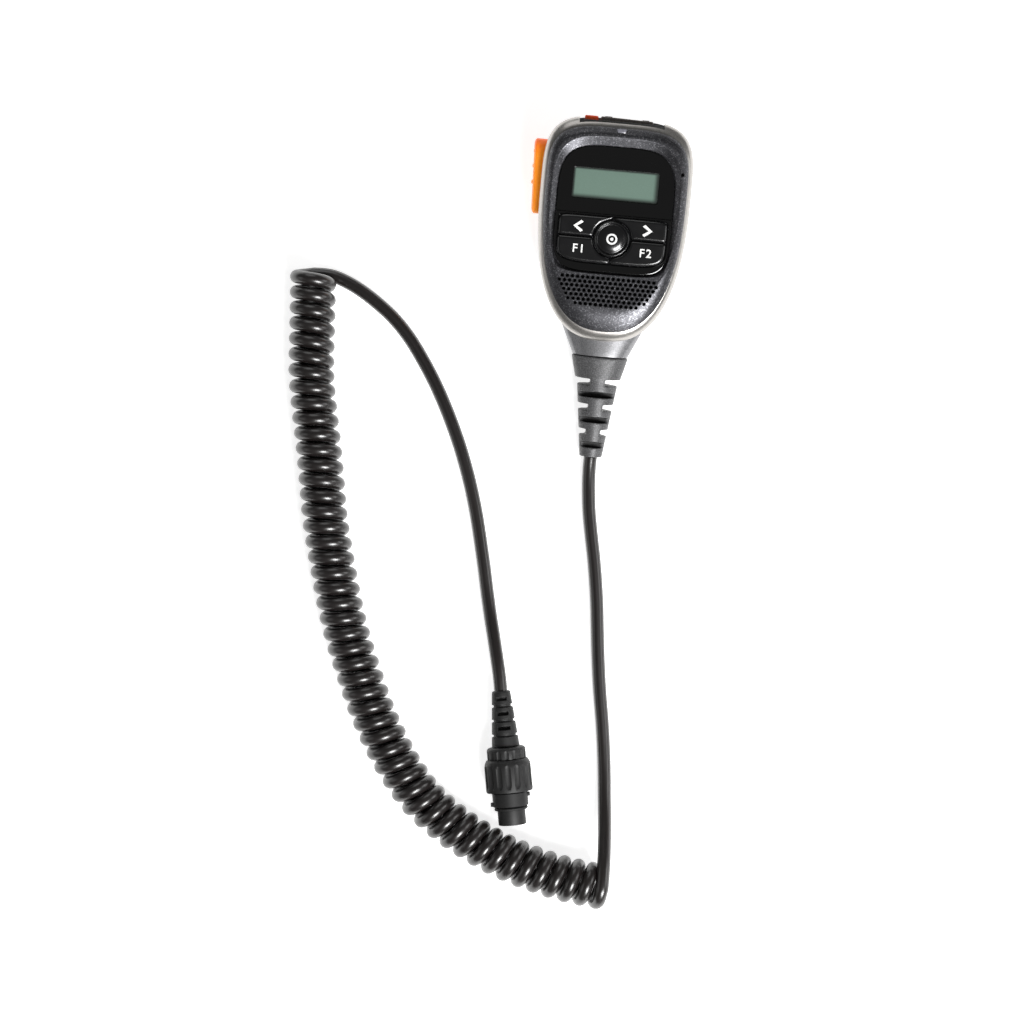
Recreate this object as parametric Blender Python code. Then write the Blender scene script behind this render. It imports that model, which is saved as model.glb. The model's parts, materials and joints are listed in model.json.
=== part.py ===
"""A hand microphone with a display, a keypad, a curly cord and a round screw-on connector.

The microphone lies on its back on a table, on its hang-up stud and the tip of its cord boot.
World frame: +X to the microphone's right, +Y along it towards its top end, +Z up.
The microphone's own pieces are modelled in its seat's frame: x across, y along, z out of the face.
"""
import math
from collections import namedtuple

import bmesh
import bpy
from mathutils import Matrix, Vector

MM = 0.001

# ---- clearances -------------------------------------------------------------------------
GAP = 0.3 * MM              # between pieces that rest on or beside each other
SLIDE_GAP = 0.35 * MM       # round a key or button in its opening
TURN_GAP = 0.4 * MM         # between the coupling sleeve and what it turns on
OVERCUT = 1.0 * MM          # how far a cutter runs past the face that it cuts
BITE = 0.6 * MM             # how deep a joined feature is sunk in its wall

# ---- front: window, bezel and keys share one recess; the case is as wide as that needs ------
KEYS_HALF_WIDTH = 21.7 * MM
KEY_MARGIN = 1.9 * MM       # bezel beside the keys
RECESS_HALF_WIDTH = KEYS_HALF_WIDTH + KEY_MARGIN
FACE_MARGIN = 6.8 * MM      # front case and trim beside the recess

# ---- case: outlines are two half superellipses that meet at the widest line ----------------
CASE_HALF_WIDTH = RECESS_HALF_WIDTH + FACE_MARGIN
CASE_TOP = 4.6 * MM         # the parting outline's top end
CASE_BOTTOM = -85.3 * MM    # and its bottom end, at the neck
WIDEST_Y = -25.0 * MM
TOP_POWER = 3.9
BOTTOM_POWER = 2.5
SHELL_RIM = (2.4 * MM, 3.2 * MM, 5.4 * MM)       # rounded edge: sides, top end, bottom end
SHELL_SHOULDER = (1.1 * MM, 1.2 * MM, 2.0 * MM)  # where the rounding turns steeper
SHOULDER_DEPTH = 1.4 * MM
FLANGE_EDGE = 0.6 * MM
FLANGE_DEPTH = 3.3 * MM     # underside of the front case's visible edge
SKIRT_DEPTH = 8.8 * MM      # end of the skirt that goes down into the rear case
CASE_DEPTH = 30.0 * MM      # to the back face
WALL = 2.0 * MM
SKIRT_WALL = 1.6 * MM
SIDE_BAND = 2.0 * MM        # how wide the silver trim shows at the sides
TOP_BAND = 4.0 * MM         # at the top end
BOTTOM_BAND = 4.3 * MM      # and at the bottom end
TRIM_DEPTH = 8.5 * MM       # the trim's rear edge, on the parting line
SEAM = 0.4 * MM             # shadow line between the trim and the rear case
TRIM_EDGE = 1.0 * MM
TRIM_KNEE = (0.6, 0.36)     # shares of the trim's width and height where it turns steeper
BACK_EDGE = (9.5 * MM, 11.0 * MM, 14.0 * MM)     # how far the back face is drawn in
BACK_ROUND = (5.0 * MM, 6.0 * MM, 8.0 * MM)
BACK_ROUND_HEIGHT = 1.3 * MM
BACK_SIDE = (2.2 * MM, 2.4 * MM, 3.5 * MM)
BACK_SIDE_HEIGHT = 5.5 * MM
INNER_SIDE = (4.6 * MM, 6.2 * MM, 7.0 * MM)      # the same for the hollow inside
INNER_SIDE_HEIGHT = 6.0 * MM
INNER_BACK = (9.0 * MM, 10.5 * MM, 13.0 * MM)
SIDE_DRAFT = 0.7 * MM
SIDE_DRAFT_LEVEL = -14.5 * MM

RECESS_TOP = -6.8 * MM
RECESS_BOTTOM = -57.4 * MM
RECESS_TOP_POWER = 4.0
RECESS_BOTTOM_POWER = 5.5
CHAMFER_WIDTH = 2.0 * MM
TOP_CHAMFER_WIDTH = 3.5 * MM
BOTTOM_CHAMFER_WIDTH = 0.5 * MM
CHAMFER_DEPTH = 1.4 * MM
LEDGE_LEVEL = -3.1 * MM     # what the window and the bezel sit on
FRONT_WALL_LEVEL = -4.6 * MM
PANEL_LEVEL = -1.2 * MM     # the window's glossy face
WINDOW_BOTTOM = -33.8 * MM
DISPLAY_WIDTH = 34.2 * MM
DISPLAY_HEIGHT = 12.1 * MM
DISPLAY_CENTRE = (-0.3 * MM, -22.2 * MM)
DISPLAY_BORDER = 1.0 * MM
DISPLAY_THICKNESS = 1.5 * MM

KEYS_TOP = -35.0 * MM
KEYS_BOTTOM = -53.6 * MM
KEYS_TOP_POWER = 14.0
KEYS_BOTTOM_POWER = 4.5
KEY_TOP_LEVEL = 0.3 * MM
KEY_THICKNESS = 2.4 * MM
KEY_ROW_SEAM = -43.4 * MM
KEY_SEAM = 0.4 * MM
KEY_TRAVEL = 0.8 * MM
CENTRE_KEY = (0.0, -43.5 * MM)
CENTRE_KEY_RADIUS = 7.2 * MM
CENTRE_KEY_RIM = 0.9 * MM
CENTRE_KEY_DISH = 0.9 * MM
CENTRE_KEY_PROUD = 0.5 * MM
KEY_EDGE = 0.35 * MM        # rounding of the keys' upper edges
BEZEL_LEVEL = -0.5 * MM
MAT_THICKNESS = 1.3 * MM

GRILLE_HOLE = 1.15 * MM
GRILLE_PITCH = 2.05 * MM
GRILLE_ROW_PITCH = 1.78 * MM
GRILLE_TOP = -59.5 * MM
GRILLE_ROWS = 7
GRILLE_HALF_SPAN = 19.6 * MM
GRILLE_DEPTH = 13.2 * MM    # from the widest row to the point where the rows would run out
GRILLE_WALL = 2.1 * MM
GRILLE_FACE = -0.3 * MM
GRILLE_MARGIN = 1.2 * MM    # wall thinned round the outermost holes
GRILLE_TAPER = 2.5 * MM
FELT_MARGIN = 0.4 * MM
HOLE_SIDES = 6

LAMP_WIDTH = 4.2 * MM
LAMP_HEIGHT = 1.6 * MM
LAMP_Y = -0.6 * MM
LAMP_TAPER = 0.6 * MM
LAMP_LEVEL = -0.9 * MM
SOUND_HOLE = 1.4 * MM
SOUND_HOLE_DEPTH = 6.0 * MM
SOUND_HOLE_PLACE = (RECESS_HALF_WIDTH + 2.2 * MM, -15.7 * MM)

# ---- inside -----------------------------------------------------------------------------
BOARD_TOP = -12.0 * MM
BOARD_HALF_WIDTH = 22.0 * MM
BOARD_THICKNESS = 1.6 * MM
SPEAKER_RADIUS = 11.0 * MM
SPEAKER_DEPTH = 5.0 * MM
SPEAKER_TO_BOSS = 0.67 * MM
SPEAKER_RIM = 1.2 * MM
SPEAKER_WALL = 0.8 * MM
CONE_RADIUS = 2.4 * MM      # the cone's small end
CONE_DROP = 2.2 * MM
CONE_THICKNESS = 0.5 * MM
MAGNET_RADIUS = 6.5 * MM
MAGNET_DEPTH = 3.5 * MM
FELT_THICKNESS = 0.5 * MM
CAPSULE_RADIUS = 3.0 * MM
CAPSULE_LENGTH = 2.7 * MM
HOLDER_WALL = 1.0 * MM
CHIP_HALF = 6.0 * MM
CHIP_PLACE = 16.0 * MM      # below the board's top edge
CHIP_THICKNESS = 1.2 * MM
CONNECTOR_HALF = 5.0 * MM
CONNECTOR_LENGTH = 5.0 * MM
CONNECTOR_PLACE = 2.0 * MM  # above the board's bottom edge
CONNECTOR_HEIGHT = 3.0 * MM
BOSS_RADIUS = 2.8 * MM
POST_RADIUS = 3.6 * MM
BOSS_LEVEL = -12.0 * MM
SCREW_ANGLES = (48.0, 132.0, 235.0, 305.0)  # round the case, in degrees
SCREW_RADIUS = 1.2 * MM
SCREW_HEAD_RADIUS = 2.3 * MM
SCREW_HEAD_HEIGHT = 1.8 * MM
SCREW_HEAD_RIM = 1.2 * MM
SCREW_SEAT_LEVEL = -16.0 * MM
SCREW_TIP_LEVEL = -7.5 * MM
GASKET_THICKNESS = 0.8 * MM
GASKET_WIDTH = 1.5 * MM

# ---- side and top controls ---------------------------------------------------------------
PTT_CENTRE_Y = -21.5 * MM
PTT_HALF_LENGTH = 15.1 * MM
PTT_CENTRE_Z = -16.4 * MM
PTT_HALF_HEIGHT = 6.0 * MM
PTT_PROUD = 3.9 * MM        # how far it stands out of the parting outline
PTT_TRAVEL = 1.5 * MM
PTT_ROOT = 4.5 * MM         # how far in from the case's side its inner face lies
PTT_INNER_X = -(CASE_HALF_WIDTH - PTT_ROOT)
PTT_EDGE = 1.1 * MM         # how far its rounded edge draws in
PTT_TAPER = 1.1 * MM        # its lower end stands that much less proud
SWITCH_WIDTH = 6.0 * MM
SWITCH_DEPTH = 3.5 * MM
PTT_END_POWER = 5.6         # how square its outline is
PTT_SIDE_POWER = 4.0
PTT_ROUNDING = ((2.2, 0.0), (0.8, 0.35), (0.0, 1.0))  # its edge: drawn in and down, in PTT_EDGEs
PTT_POINTS = 28
STRIP_HALF_LENGTH = 16.7 * MM
STRIP_FRONT_LEVEL = -4.6 * MM
STRIP_REAR_LEVEL = -13.3 * MM
STRIP_FACE_Y = 3.0 * MM
STRIP_THICKNESS = 1.8 * MM
ALARM_CENTRE_X = -12.3 * MM
ALARM_WIDTH = 5.4 * MM
ROCKER_CENTRE_X = 2.0 * MM
ROCKER_LENGTH = 21.0 * MM
TOP_KEY_FRONT_LEVEL = -7.1 * MM
TOP_KEY_REAR_LEVEL = -12.5 * MM
TOP_KEY_FACE_Y = 4.6 * MM
TOP_KEY_INNER_Y = 1.7 * MM
TOP_KEY_EDGE = 0.5 * MM
ROCKER_TAPER = 0.5 * MM     # its right end stands that much less proud
ALARM_TRAVEL = 0.5 * MM
TOP_SWITCH_LEVEL = -10.4 * MM
TOP_SWITCH_HALF_WIDTH = 1.8 * MM
TOP_SWITCH_HEIGHT = 2.0 * MM
ROCKER_SWING = math.radians(2.5)
SWITCH_GAP = 0.4 * MM       # past the end of a control's travel

# ---- back -------------------------------------------------------------------------------
STUD_Y = -30.0 * MM
STUD_NECK_RADIUS = 4.6 * MM
STUD_HEAD_RADIUS = 7.4 * MM
STUD_NECK_HEIGHT = 2.6 * MM
STUD_HEAD_HEIGHT = 3.0 * MM
STUD_SCREW_HEAD_RADIUS = 3.0 * MM
STUD_SCREW_HEAD_HEIGHT = 1.5 * MM
STUD_SCREW_RADIUS = 1.5 * MM
STUD_SCREW_LENGTH = 8.0 * MM
STUD_SCREW_SUNK = 0.15 * MM
STUD_EDGE = 0.6 * MM
STUD_FACE_EDGE = 0.2 * MM
STUD_BOSS_RADIUS = 4.4 * MM
STUD_BOSS_HEIGHT = 6.0 * MM

# ---- neck and cord boot --------------------------------------------------------------------
CORD_AXIS_Z = -16.6 * MM
NECK_END = -91.8 * MM
NECK_ROOT = -80.1 * MM
NECK_ROOT_HALF_WIDTH = 16.7 * MM
NECK_HALF_WIDTH = 11.3 * MM
NECK_HALF_THICKNESS = 7.6 * MM
NECK_BORE = (7.6 * MM, 4.9 * MM)
SPIGOT_LENGTH = 5.5 * MM
BOOT_COLLAR_END = -101.2 * MM
BOOT_END = -133.5 * MM
BOOT_COLLAR_HALF_WIDTH = 9.3 * MM
BOOT_SHOULDER_HALF_WIDTH = 8.6 * MM
BOOT_SHOULDER_HALF_THICKNESS = 6.9 * MM
BOOT_TIP_HALF_WIDTH = 4.6 * MM
BOOT_TIP_HALF_THICKNESS = 4.7 * MM
BOOT_BLOCK_PITCH = 10.4 * MM
BOOT_NOTCH = 2.6 * MM
BOOT_SLOT = 1.8 * MM
BOOT_BLOCKS = 3
BOOT_WEB = 2.9 * MM         # half the rubber left between two notches
BOOT_LIP = 0.2 * MM         # the collar stands that much proud of the neck
BOOT_TIP_EDGE = 1.0 * MM
NECK_POWER = 2.3
BOOT_POWER = 2.2
CLAMP_LENGTH = 4.0 * MM

# ---- cord -------------------------------------------------------------------------------
CORD_DIAMETER = 5.5 * MM
COIL_DIAMETER = 19.0 * MM
CORD_POINT_SPACING = 2.5    # in diameters
COIL_POINT_SPACING = 0.9    # of the coil's own diameter
# Routes in the world frame, in millimetres: the straight lead from the boot to the coil,
# the coil's own centre line, and the tail from the coil's far end to the connector.
LEAD_ROUTE = [(2.1, -67.9, 4.7), (2.1, -73.0, 3.8), (2.5, -80.0, 3.1), (3.6, -90.0, 2.8),
              (5.3, -99.5, 2.8), (7.2, -109.0, 2.8), (8.9, -119.0, 2.8), (10.3, -129.0, 2.8),
              (11.4, -139.0, 2.8), (12.5, -148.5, 2.8), (13.8, -158.5, 2.8), (15.3, -168.0, 2.8),
              (16.9, -177.5, 2.8), (18.3, -187.5, 2.9), (19.4, -197.0, 3.4), (20.3, -207.0, 4.9),
              (21.1, -216.5, 7.5), (21.7, -225.5, 10.8), (22.1, -232.5, 13.7)]
COIL_ROUTE = [(-117.5, -7.0, 9.6), (-116.7, -18.0, 9.6), (-115.9, -30.0, 9.6),
              (-114.8, -44.5, 9.6), (-112.6, -57.5, 9.6), (-109.8, -71.0, 9.6),
              (-107.0, -86.0, 9.6), (-104.3, -101.5, 9.6), (-101.4, -113.5, 9.6),
              (-98.2, -125.5, 9.6), (-94.8, -137.5, 9.6), (-90.6, -150.0, 9.6),
              (-84.4, -165.0, 9.6), (-78.1, -179.0, 9.6), (-71.5, -191.0, 9.6),
              (-63.6, -202.8, 9.6), (-54.0, -213.8, 9.6), (-42.6, -222.4, 9.6),
              (-30.5, -229.2, 9.6), (-18.5, -234.4, 9.6), (-6.0, -238.3, 9.6),
              (6.5, -241.1, 9.6), (18.9, -242.7, 9.6)]
TAIL_ROUTE = [(-119.5, -3.0, 3.2), (-115.0, -2.7, 2.9), (-109.8, -3.2, 2.8), (-105.0, -4.7, 2.8),
              (-98.8, -7.6, 2.8), (-91.0, -12.5, 2.8), (-83.2, -18.6, 2.8), (-76.2, -26.0, 2.8),
              (-69.9, -34.6, 2.8), (-64.5, -43.0, 2.8), (-59.6, -51.8, 2.8), (-55.2, -60.7, 2.8),
              (-51.2, -69.8, 2.8), (-47.7, -79.0, 2.8), (-44.6, -88.4, 2.8), (-41.9, -98.0, 2.8),
              (-39.6, -107.5, 2.8), (-37.4, -117.0, 2.8), (-35.3, -126.8, 2.9),
              (-33.1, -136.4, 3.9), (-30.7, -146.0, 6.4), (-28.4, -155.4, 8.8),
              (-27.1, -161.0, 9.5), (-26.05, -166.8, 9.7)]

# ---- connector: distances along its axis from where the cord goes in -------------------------
PLUG_HEADING = math.radians(10.1)   # from -Y towards +X
PLUG_CABLE_END = (-25.9 * MM, -167.4 * MM)
PLUG_CLEAR_OF_TABLE = 0.1 * MM
PLUG_BOOT_LENGTH = 22.0 * MM
PLUG_BOOT_SMALL_RADIUS = 3.8 * MM
PLUG_BOOT_LARGE_RADIUS = 5.7 * MM
PLUG_BOOT_SLOT = 1.4 * MM
PLUG_BOOT_SLOT_PITCH = 3.0 * MM
PLUG_BOOT_SLOTS = 6
PLUG_BOOT_CORE = 2.6 * MM
PLUG_BOOT_EDGE = 0.5 * MM
PLUG_BOOT_FIRST_SLOT = 2.4 * MM
NUT_LENGTH = 4.6 * MM
NUT_RADIUS = 7.7 * MM
SLEEVE_LENGTH = 13.3 * MM
SLEEVE_RADIUS = 9.6 * MM
SLEEVE_FLUTES = 16
SLEEVE_FLUTE_DEPTH = 0.5 * MM
SLEEVE_RIM_LENGTH = 1.6 * MM
SLEEVE_NOSE = (1.3 * MM, 1.8 * MM)  # how far its cable end is drawn in, and over what length
SLEEVE_SHOULDER = (0.3 * MM, 0.6 * MM)
SLEEVE_EDGE = 0.4 * MM
PLUG_EDGE = 0.3 * MM
SHELL_CORE_RADIUS = 6.4 * MM
SHELL_RING_RADIUS = 7.3 * MM
SHELL_RING_LENGTH = 5.6 * MM
BARREL_RADIUS = 5.7 * MM
BARREL_LENGTH = 7.6 * MM
BARREL_WALL = 1.0 * MM
LUG_LENGTH = 1.6 * MM
LUG_WIDTH = 3.0 * MM
LUG_PROUD = 0.9 * MM
LUG_STEP = 3.3 * MM
INSERT_RECESS = 3.7 * MM    # from the rim to the face that the pins stand on
INSERT_THICKNESS = 5.0 * MM
PIN_RADIUS = 0.45 * MM
PIN_HOLE_RADIUS = 0.8 * MM
PIN_CIRCLE_RADIUS = 2.7 * MM
PIN_PROUD = 2.4 * MM
PIN_COUNT = 6
PIN_SUNK = 3.0 * MM
PIN_POINT = 0.4 * MM
NUT_EDGE = 1.0 * MM
SEAL_THICKNESS = 0.9 * MM
SEAL_LENGTH = 1.2 * MM

CASE_POINTS = 44            # points round a case outline
ROUND_POINTS = 20           # points round a screw, a stud or a plug part
SMALL_ROUND_POINTS = 12
KEY_ROUND_POINTS = 36

Outline = namedtuple("Outline", "half_width top bottom widest top_power bottom_power")

CASE = Outline(CASE_HALF_WIDTH, CASE_TOP, CASE_BOTTOM, WIDEST_Y, TOP_POWER, BOTTOM_POWER)
RECESS = Outline(RECESS_HALF_WIDTH, RECESS_TOP, RECESS_BOTTOM,
                 (RECESS_TOP + RECESS_BOTTOM) / 2, RECESS_TOP_POWER, RECESS_BOTTOM_POWER)
KEYS = Outline(KEYS_HALF_WIDTH, KEYS_TOP, KEYS_BOTTOM,
               (KEYS_TOP + KEYS_BOTTOM) / 2, KEYS_TOP_POWER, KEYS_BOTTOM_POWER)


def clear_scene():
    for ob in list(bpy.data.objects):
        bpy.data.objects.remove(ob, do_unlink=True)


def inset(outline, side, top=None, bottom=None):
    """The outline drawn in by side, and by top and bottom at its ends."""
    top = side if top is None else top
    bottom = side if bottom is None else bottom
    return outline._replace(half_width=outline.half_width - side,
                            top=outline.top - top, bottom=outline.bottom + bottom)


def signed_power(value, power):
    return math.copysign(abs(value) ** power, value)


def outline_point(outline, angle):
    """The point of an outline at one angle round it."""
    upper = math.sin(angle) > 0
    power = 2 / (outline.top_power if upper else outline.bottom_power)
    reach = outline.top - outline.widest if upper else outline.widest - outline.bottom
    return (outline.half_width * signed_power(math.cos(angle), power),
            outline.widest + reach * signed_power(math.sin(angle), power))


def outline_ring(outline, level, count=CASE_POINTS):
    """Points round an outline at one height, anticlockwise seen from the front."""
    return [Vector((*outline_point(outline, 2 * math.pi * (i + 0.5) / count), level))
            for i in range(count)]


def circle_ring(radius, level, count=ROUND_POINTS, centre=(0.0, 0.0)):
    return [Vector((centre[0] + radius * math.cos(2 * math.pi * i / count),
                    centre[1] + radius * math.sin(2 * math.pi * i / count), level))
            for i in range(count)]


def along_ring(half_width, half_thickness, y, power=2.0, count=32, z=CORD_AXIS_Z):
    """An oval section across the microphone's length."""
    ring = []
    for i in range(count):
        t = 2 * math.pi * (i + 0.5) / count
        ring.append(Vector((half_width * signed_power(math.cos(t), 2 / power), y,
                            z + half_thickness * signed_power(math.sin(t), 2 / power))))
    return ring


def skin(rings, closed=False):
    """A mesh over rings of equal count: capped at both ends, or closed into a loop."""
    bm = bmesh.new()
    rows = [[bm.verts.new(p) for p in ring] for ring in rings]
    pairs = list(zip(rows, rows[1:]))
    if closed:
        pairs.append((rows[-1], rows[0]))
    for a, b in pairs:
        for i in range(len(a)):
            j = (i + 1) % len(a)
            bm.faces.new((a[i], a[j], b[j], b[i]))
    if not closed:
        bm.faces.new(rows[0])
        bm.faces.new(rows[-1])
    return bm


def box_mesh(low, high):
    bm = bmesh.new()
    centre = (Vector(low) + Vector(high)) / 2
    size = Vector(high) - Vector(low)
    bmesh.ops.create_cube(bm, size=1.0, matrix=Matrix.Translation(centre) @ Matrix.Diagonal((*size, 1)))
    return bm


def lathe(profile, count=ROUND_POINTS, centre=(0.0, 0.0)):
    """A solid turned about a line along Z: profile is (radius, height) from end to end."""
    return skin([circle_ring(r, z, count, centre) for r, z in profile])


def lathe_loop(profile, count=ROUND_POINTS, centre=(0.0, 0.0)):
    """A turned ring: profile is a closed loop of (radius, height)."""
    return skin([circle_ring(r, z, count, centre) for r, z in profile], closed=True)


def join_meshes(meshes):
    whole = bmesh.new()
    for bm in meshes:
        part = bpy.data.meshes.new("part")
        bmesh.ops.recalc_face_normals(bm, faces=bm.faces)
        bm.to_mesh(part)
        bm.free()
        whole.from_mesh(part)
        bpy.data.meshes.remove(part)
    return whole


def finish_colour(hex_colour):
    channels = [int(hex_colour[i:i + 2], 16) / 255 for i in (1, 3, 5)]
    linear = [c / 12.92 if c <= 0.04045 else ((c + 0.055) / 1.055) ** 2.4 for c in channels]
    return (*linear, 1.0)


def material(name, hex_colour, roughness, metallic=0.0):
    found = bpy.data.materials.get(name)
    if found:
        return found
    mat = bpy.data.materials.new(name)
    mat.use_nodes = True
    shader = mat.node_tree.nodes["Principled BSDF"]
    shader.inputs["Base Color"].default_value = finish_colour(hex_colour)
    shader.inputs["Roughness"].default_value = roughness
    shader.inputs["Metallic"].default_value = metallic
    return mat


FINISHES = {
    "painted_shell": ("#3C3E42", 0.45, 0.3),
    "silver_trim": ("#B4B3AF", 0.35, 0.6),
    "case_grey": ("#5B5B5C", 0.55, 0.1),
    "window_black": ("#0D0D0D", 0.08, 0.0),
    "display_glass": ("#7F9E8A", 0.25, 0.0),
    "key_black": ("#1A1A1A", 0.25, 0.0),
    "safety_orange": ("#F7901E", 0.45, 0.0),
    "alarm_red": ("#FF5A20", 0.45, 0.0),
    "rocker_grey": ("#5A5450", 0.4, 0.0),
    "seal_black": ("#151515", 0.7, 0.0),
    "boot_grey": ("#5E5E5E", 0.7, 0.0),
    "cord_black": ("#2E2A2A", 0.4, 0.0),
    "plug_black": ("#2A2A2A", 0.5, 0.0),
    "board_green": ("#1E5A38", 0.5, 0.0),
    "steel": ("#A8A8A8", 0.3, 1.0),
    "brass_gold": ("#C8A050", 0.25, 1.0),
    "lamp_clear": ("#5A5A60", 0.2, 0.0),
}


def node(name, bm, finish, parent=None, origin=(0.0, 0.0, 0.0)):
    """A named object from a mesh, with its origin moved to a joint's axis where it has one."""
    bmesh.ops.recalc_face_normals(bm, faces=bm.faces)
    bmesh.ops.translate(bm, verts=bm.verts, vec=-Vector(origin))
    mesh = bpy.data.meshes.new(name)
    bm.to_mesh(mesh)
    bm.free()
    mesh.shade_smooth()
    mesh.set_sharp_from_angle(angle=math.radians(35))
    mesh.materials.append(material(finish, *FINISHES[finish]))
    ob = bpy.data.objects.new(name, mesh)
    bpy.context.scene.collection.objects.link(ob)
    ob.location = origin
    ob.parent = parent
    return ob


def tool(name, bm, parent=None):
    """A cutter or an addition for a Boolean, left out of the build."""
    bmesh.ops.recalc_face_normals(bm, faces=bm.faces)
    mesh = bpy.data.meshes.new(name)
    bm.to_mesh(mesh)
    bm.free()
    ob = bpy.data.objects.new(name, mesh)
    bpy.context.scene.collection.objects.link(ob)
    ob.parent = parent
    ob.hide_render = True
    ob.display_type = "WIRE"
    return ob


def combine(ob, other, operation):
    step = ob.modifiers.new(f"{operation.lower()}_{other.name}", "BOOLEAN")
    step.operation = operation
    step.solver = "EXACT"
    step.object = other
    return ob


def cut(ob, name, bm, parent=None):
    return combine(ob, tool(name, bm, parent), "DIFFERENCE")


def add(ob, name, bm, parent=None):
    return combine(ob, tool(name, bm, parent), "UNION")


def keep(ob, name, bm, parent=None):
    return combine(ob, tool(name, bm, parent), "INTERSECT")


# ---- levels and outlines that several pieces share -----------------------------------------
SHELL_EDGE = inset(CASE, SIDE_BAND, TOP_BAND, BOTTOM_BAND)
SKIRT = inset(SHELL_EDGE, WALL)
TRIM_INNER = inset(SKIRT, -GAP)
REAR_TOP_LEVEL = -(TRIM_DEPTH + SEAM)
GASKET_SEAT_LEVEL = -(SKIRT_DEPTH + GASKET_THICKNESS + 2 * GAP)
GASKET_OUTER = inset(SKIRT, -GAP)
GASKET_INNER = inset(GASKET_OUTER, GASKET_WIDTH)
BOARD_LEVEL = FRONT_WALL_LEVEL - 2 * GAP
KEY_UNDERSIDE = KEY_TOP_LEVEL - KEY_THICKNESS
MAT_LEVEL = KEY_UNDERSIDE - KEY_TRAVEL - SLIDE_GAP
KEY_OPENING = inset(KEYS, -SLIDE_GAP)
STUD_FACE_LEVEL = -(CASE_DEPTH + GAP + STUD_NECK_HEIGHT + STUD_HEAD_HEIGHT)
SCREW_PLACES = [outline_point(inset(GASKET_INNER, BOSS_RADIUS + GAP), math.radians(a))
                for a in SCREW_ANGLES]
TOP_SWITCHES = {"alarm_switch": ALARM_CENTRE_X,
                "volume_down_switch": ROCKER_CENTRE_X - ROCKER_LENGTH / 3,
                "volume_up_switch": ROCKER_CENTRE_X + ROCKER_LENGTH / 3}


def speaker_y():
    """How far up the speaker has to sit to clear the two lower screw bosses and the skirt."""
    boss_x, boss_y = SCREW_PLACES[-1]
    reach = SPEAKER_RADIUS + BOSS_RADIUS + SPEAKER_TO_BOSS
    above_bosses = boss_y + math.sqrt(max(reach ** 2 - boss_x ** 2, 0.0))
    above_skirt = SKIRT.bottom + SKIRT_WALL + GAP + SPEAKER_RADIUS
    return max(above_bosses, above_skirt)


SPEAKER_Y = speaker_y()
BOARD_BOTTOM = SPEAKER_Y + SPEAKER_RADIUS + 2 * GAP


def seat_tilt():
    """The lean at which the stud's lower edge and the boot's tip both touch the table."""
    drop = (CORD_AXIS_Z - BOOT_TIP_HALF_THICKNESS) - STUD_FACE_LEVEL
    run = (STUD_Y - STUD_HEAD_RADIUS) - BOOT_END
    return math.atan2(drop, run)


def front_case(seat):
    outer = [outline_ring(inset(SHELL_EDGE, *SHELL_RIM), GRILLE_FACE),
             outline_ring(inset(SHELL_EDGE, *SHELL_SHOULDER), -SHOULDER_DEPTH),
             outline_ring(SHELL_EDGE, -FLANGE_DEPTH + FLANGE_EDGE),
             outline_ring(SHELL_EDGE, -FLANGE_DEPTH),
             outline_ring(SKIRT, -FLANGE_DEPTH),
             outline_ring(SKIRT, -SKIRT_DEPTH)]
    inner = [outline_ring(inset(SKIRT, SKIRT_WALL), -SKIRT_DEPTH),
             outline_ring(inset(SKIRT, SKIRT_WALL), FRONT_WALL_LEVEL)]
    case = node("front_case", skin(outer + inner), "painted_shell", seat)

    bosses = join_meshes([lathe([(BOSS_RADIUS, FRONT_WALL_LEVEL + BITE), (BOSS_RADIUS, BOSS_LEVEL)],
                                SMALL_ROUND_POINTS, (x, y)) for x, y in SCREW_PLACES])
    add(case, "screw_bosses", bosses, seat)
    chamfer_outer = inset(RECESS, -CHAMFER_WIDTH, -TOP_CHAMFER_WIDTH, -BOTTOM_CHAMFER_WIDTH)
    slope = CHAMFER_DEPTH / CHAMFER_WIDTH
    above = inset(chamfer_outer, -OVERCUT / slope, -OVERCUT / slope, -GAP)
    cut(case, "recess", skin([outline_ring(above, GRILLE_FACE + OVERCUT),
                              outline_ring(chamfer_outer, GRILLE_FACE),
                              outline_ring(RECESS, GRILLE_FACE - CHAMFER_DEPTH),
                              outline_ring(RECESS, LEDGE_LEVEL)]), seat)
    cx, cy = DISPLAY_CENTRE
    half_w = DISPLAY_WIDTH / 2 + DISPLAY_BORDER + GAP
    half_h = DISPLAY_HEIGHT / 2 + DISPLAY_BORDER + GAP
    cut(case, "display_opening", box_mesh((cx - half_w, cy - half_h, FRONT_WALL_LEVEL - OVERCUT),
                                          (cx + half_w, cy + half_h, LEDGE_LEVEL + OVERCUT)), seat)
    cut(case, "key_opening", skin([outline_ring(KEY_OPENING, LEDGE_LEVEL + OVERCUT),
                                   outline_ring(KEY_OPENING, FRONT_WALL_LEVEL - OVERCUT)]), seat)
    pocket = inset(grille_outline(), -GRILLE_MARGIN)
    mouth = inset(pocket, GRILLE_TAPER)
    cut(case, "speaker_pocket", skin([outline_ring(pocket, GRILLE_FACE - GRILLE_WALL, 40),
                                      outline_ring(mouth, FRONT_WALL_LEVEL - OVERCUT, 40)]), seat)
    cut(case, "grille_holes", grille_holes(), seat)
    cut(case, "lamp_slot", lamp_mesh(GAP), seat)
    x, y = SOUND_HOLE_PLACE
    cut(case, "sound_hole", lathe([(SOUND_HOLE / 2, OVERCUT), (SOUND_HOLE / 2, -SOUND_HOLE_DEPTH)],
                                  SMALL_ROUND_POINTS, (x, y)), seat)
    pilots = join_meshes([lathe([(SCREW_RADIUS + GAP, SCREW_TIP_LEVEL + GAP),
                                 (SCREW_RADIUS + GAP, BOSS_LEVEL - OVERCUT)],
                                SMALL_ROUND_POINTS, (x, y)) for x, y in SCREW_PLACES])
    cut(case, "screw_pilots", pilots, seat)
    return case


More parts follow.
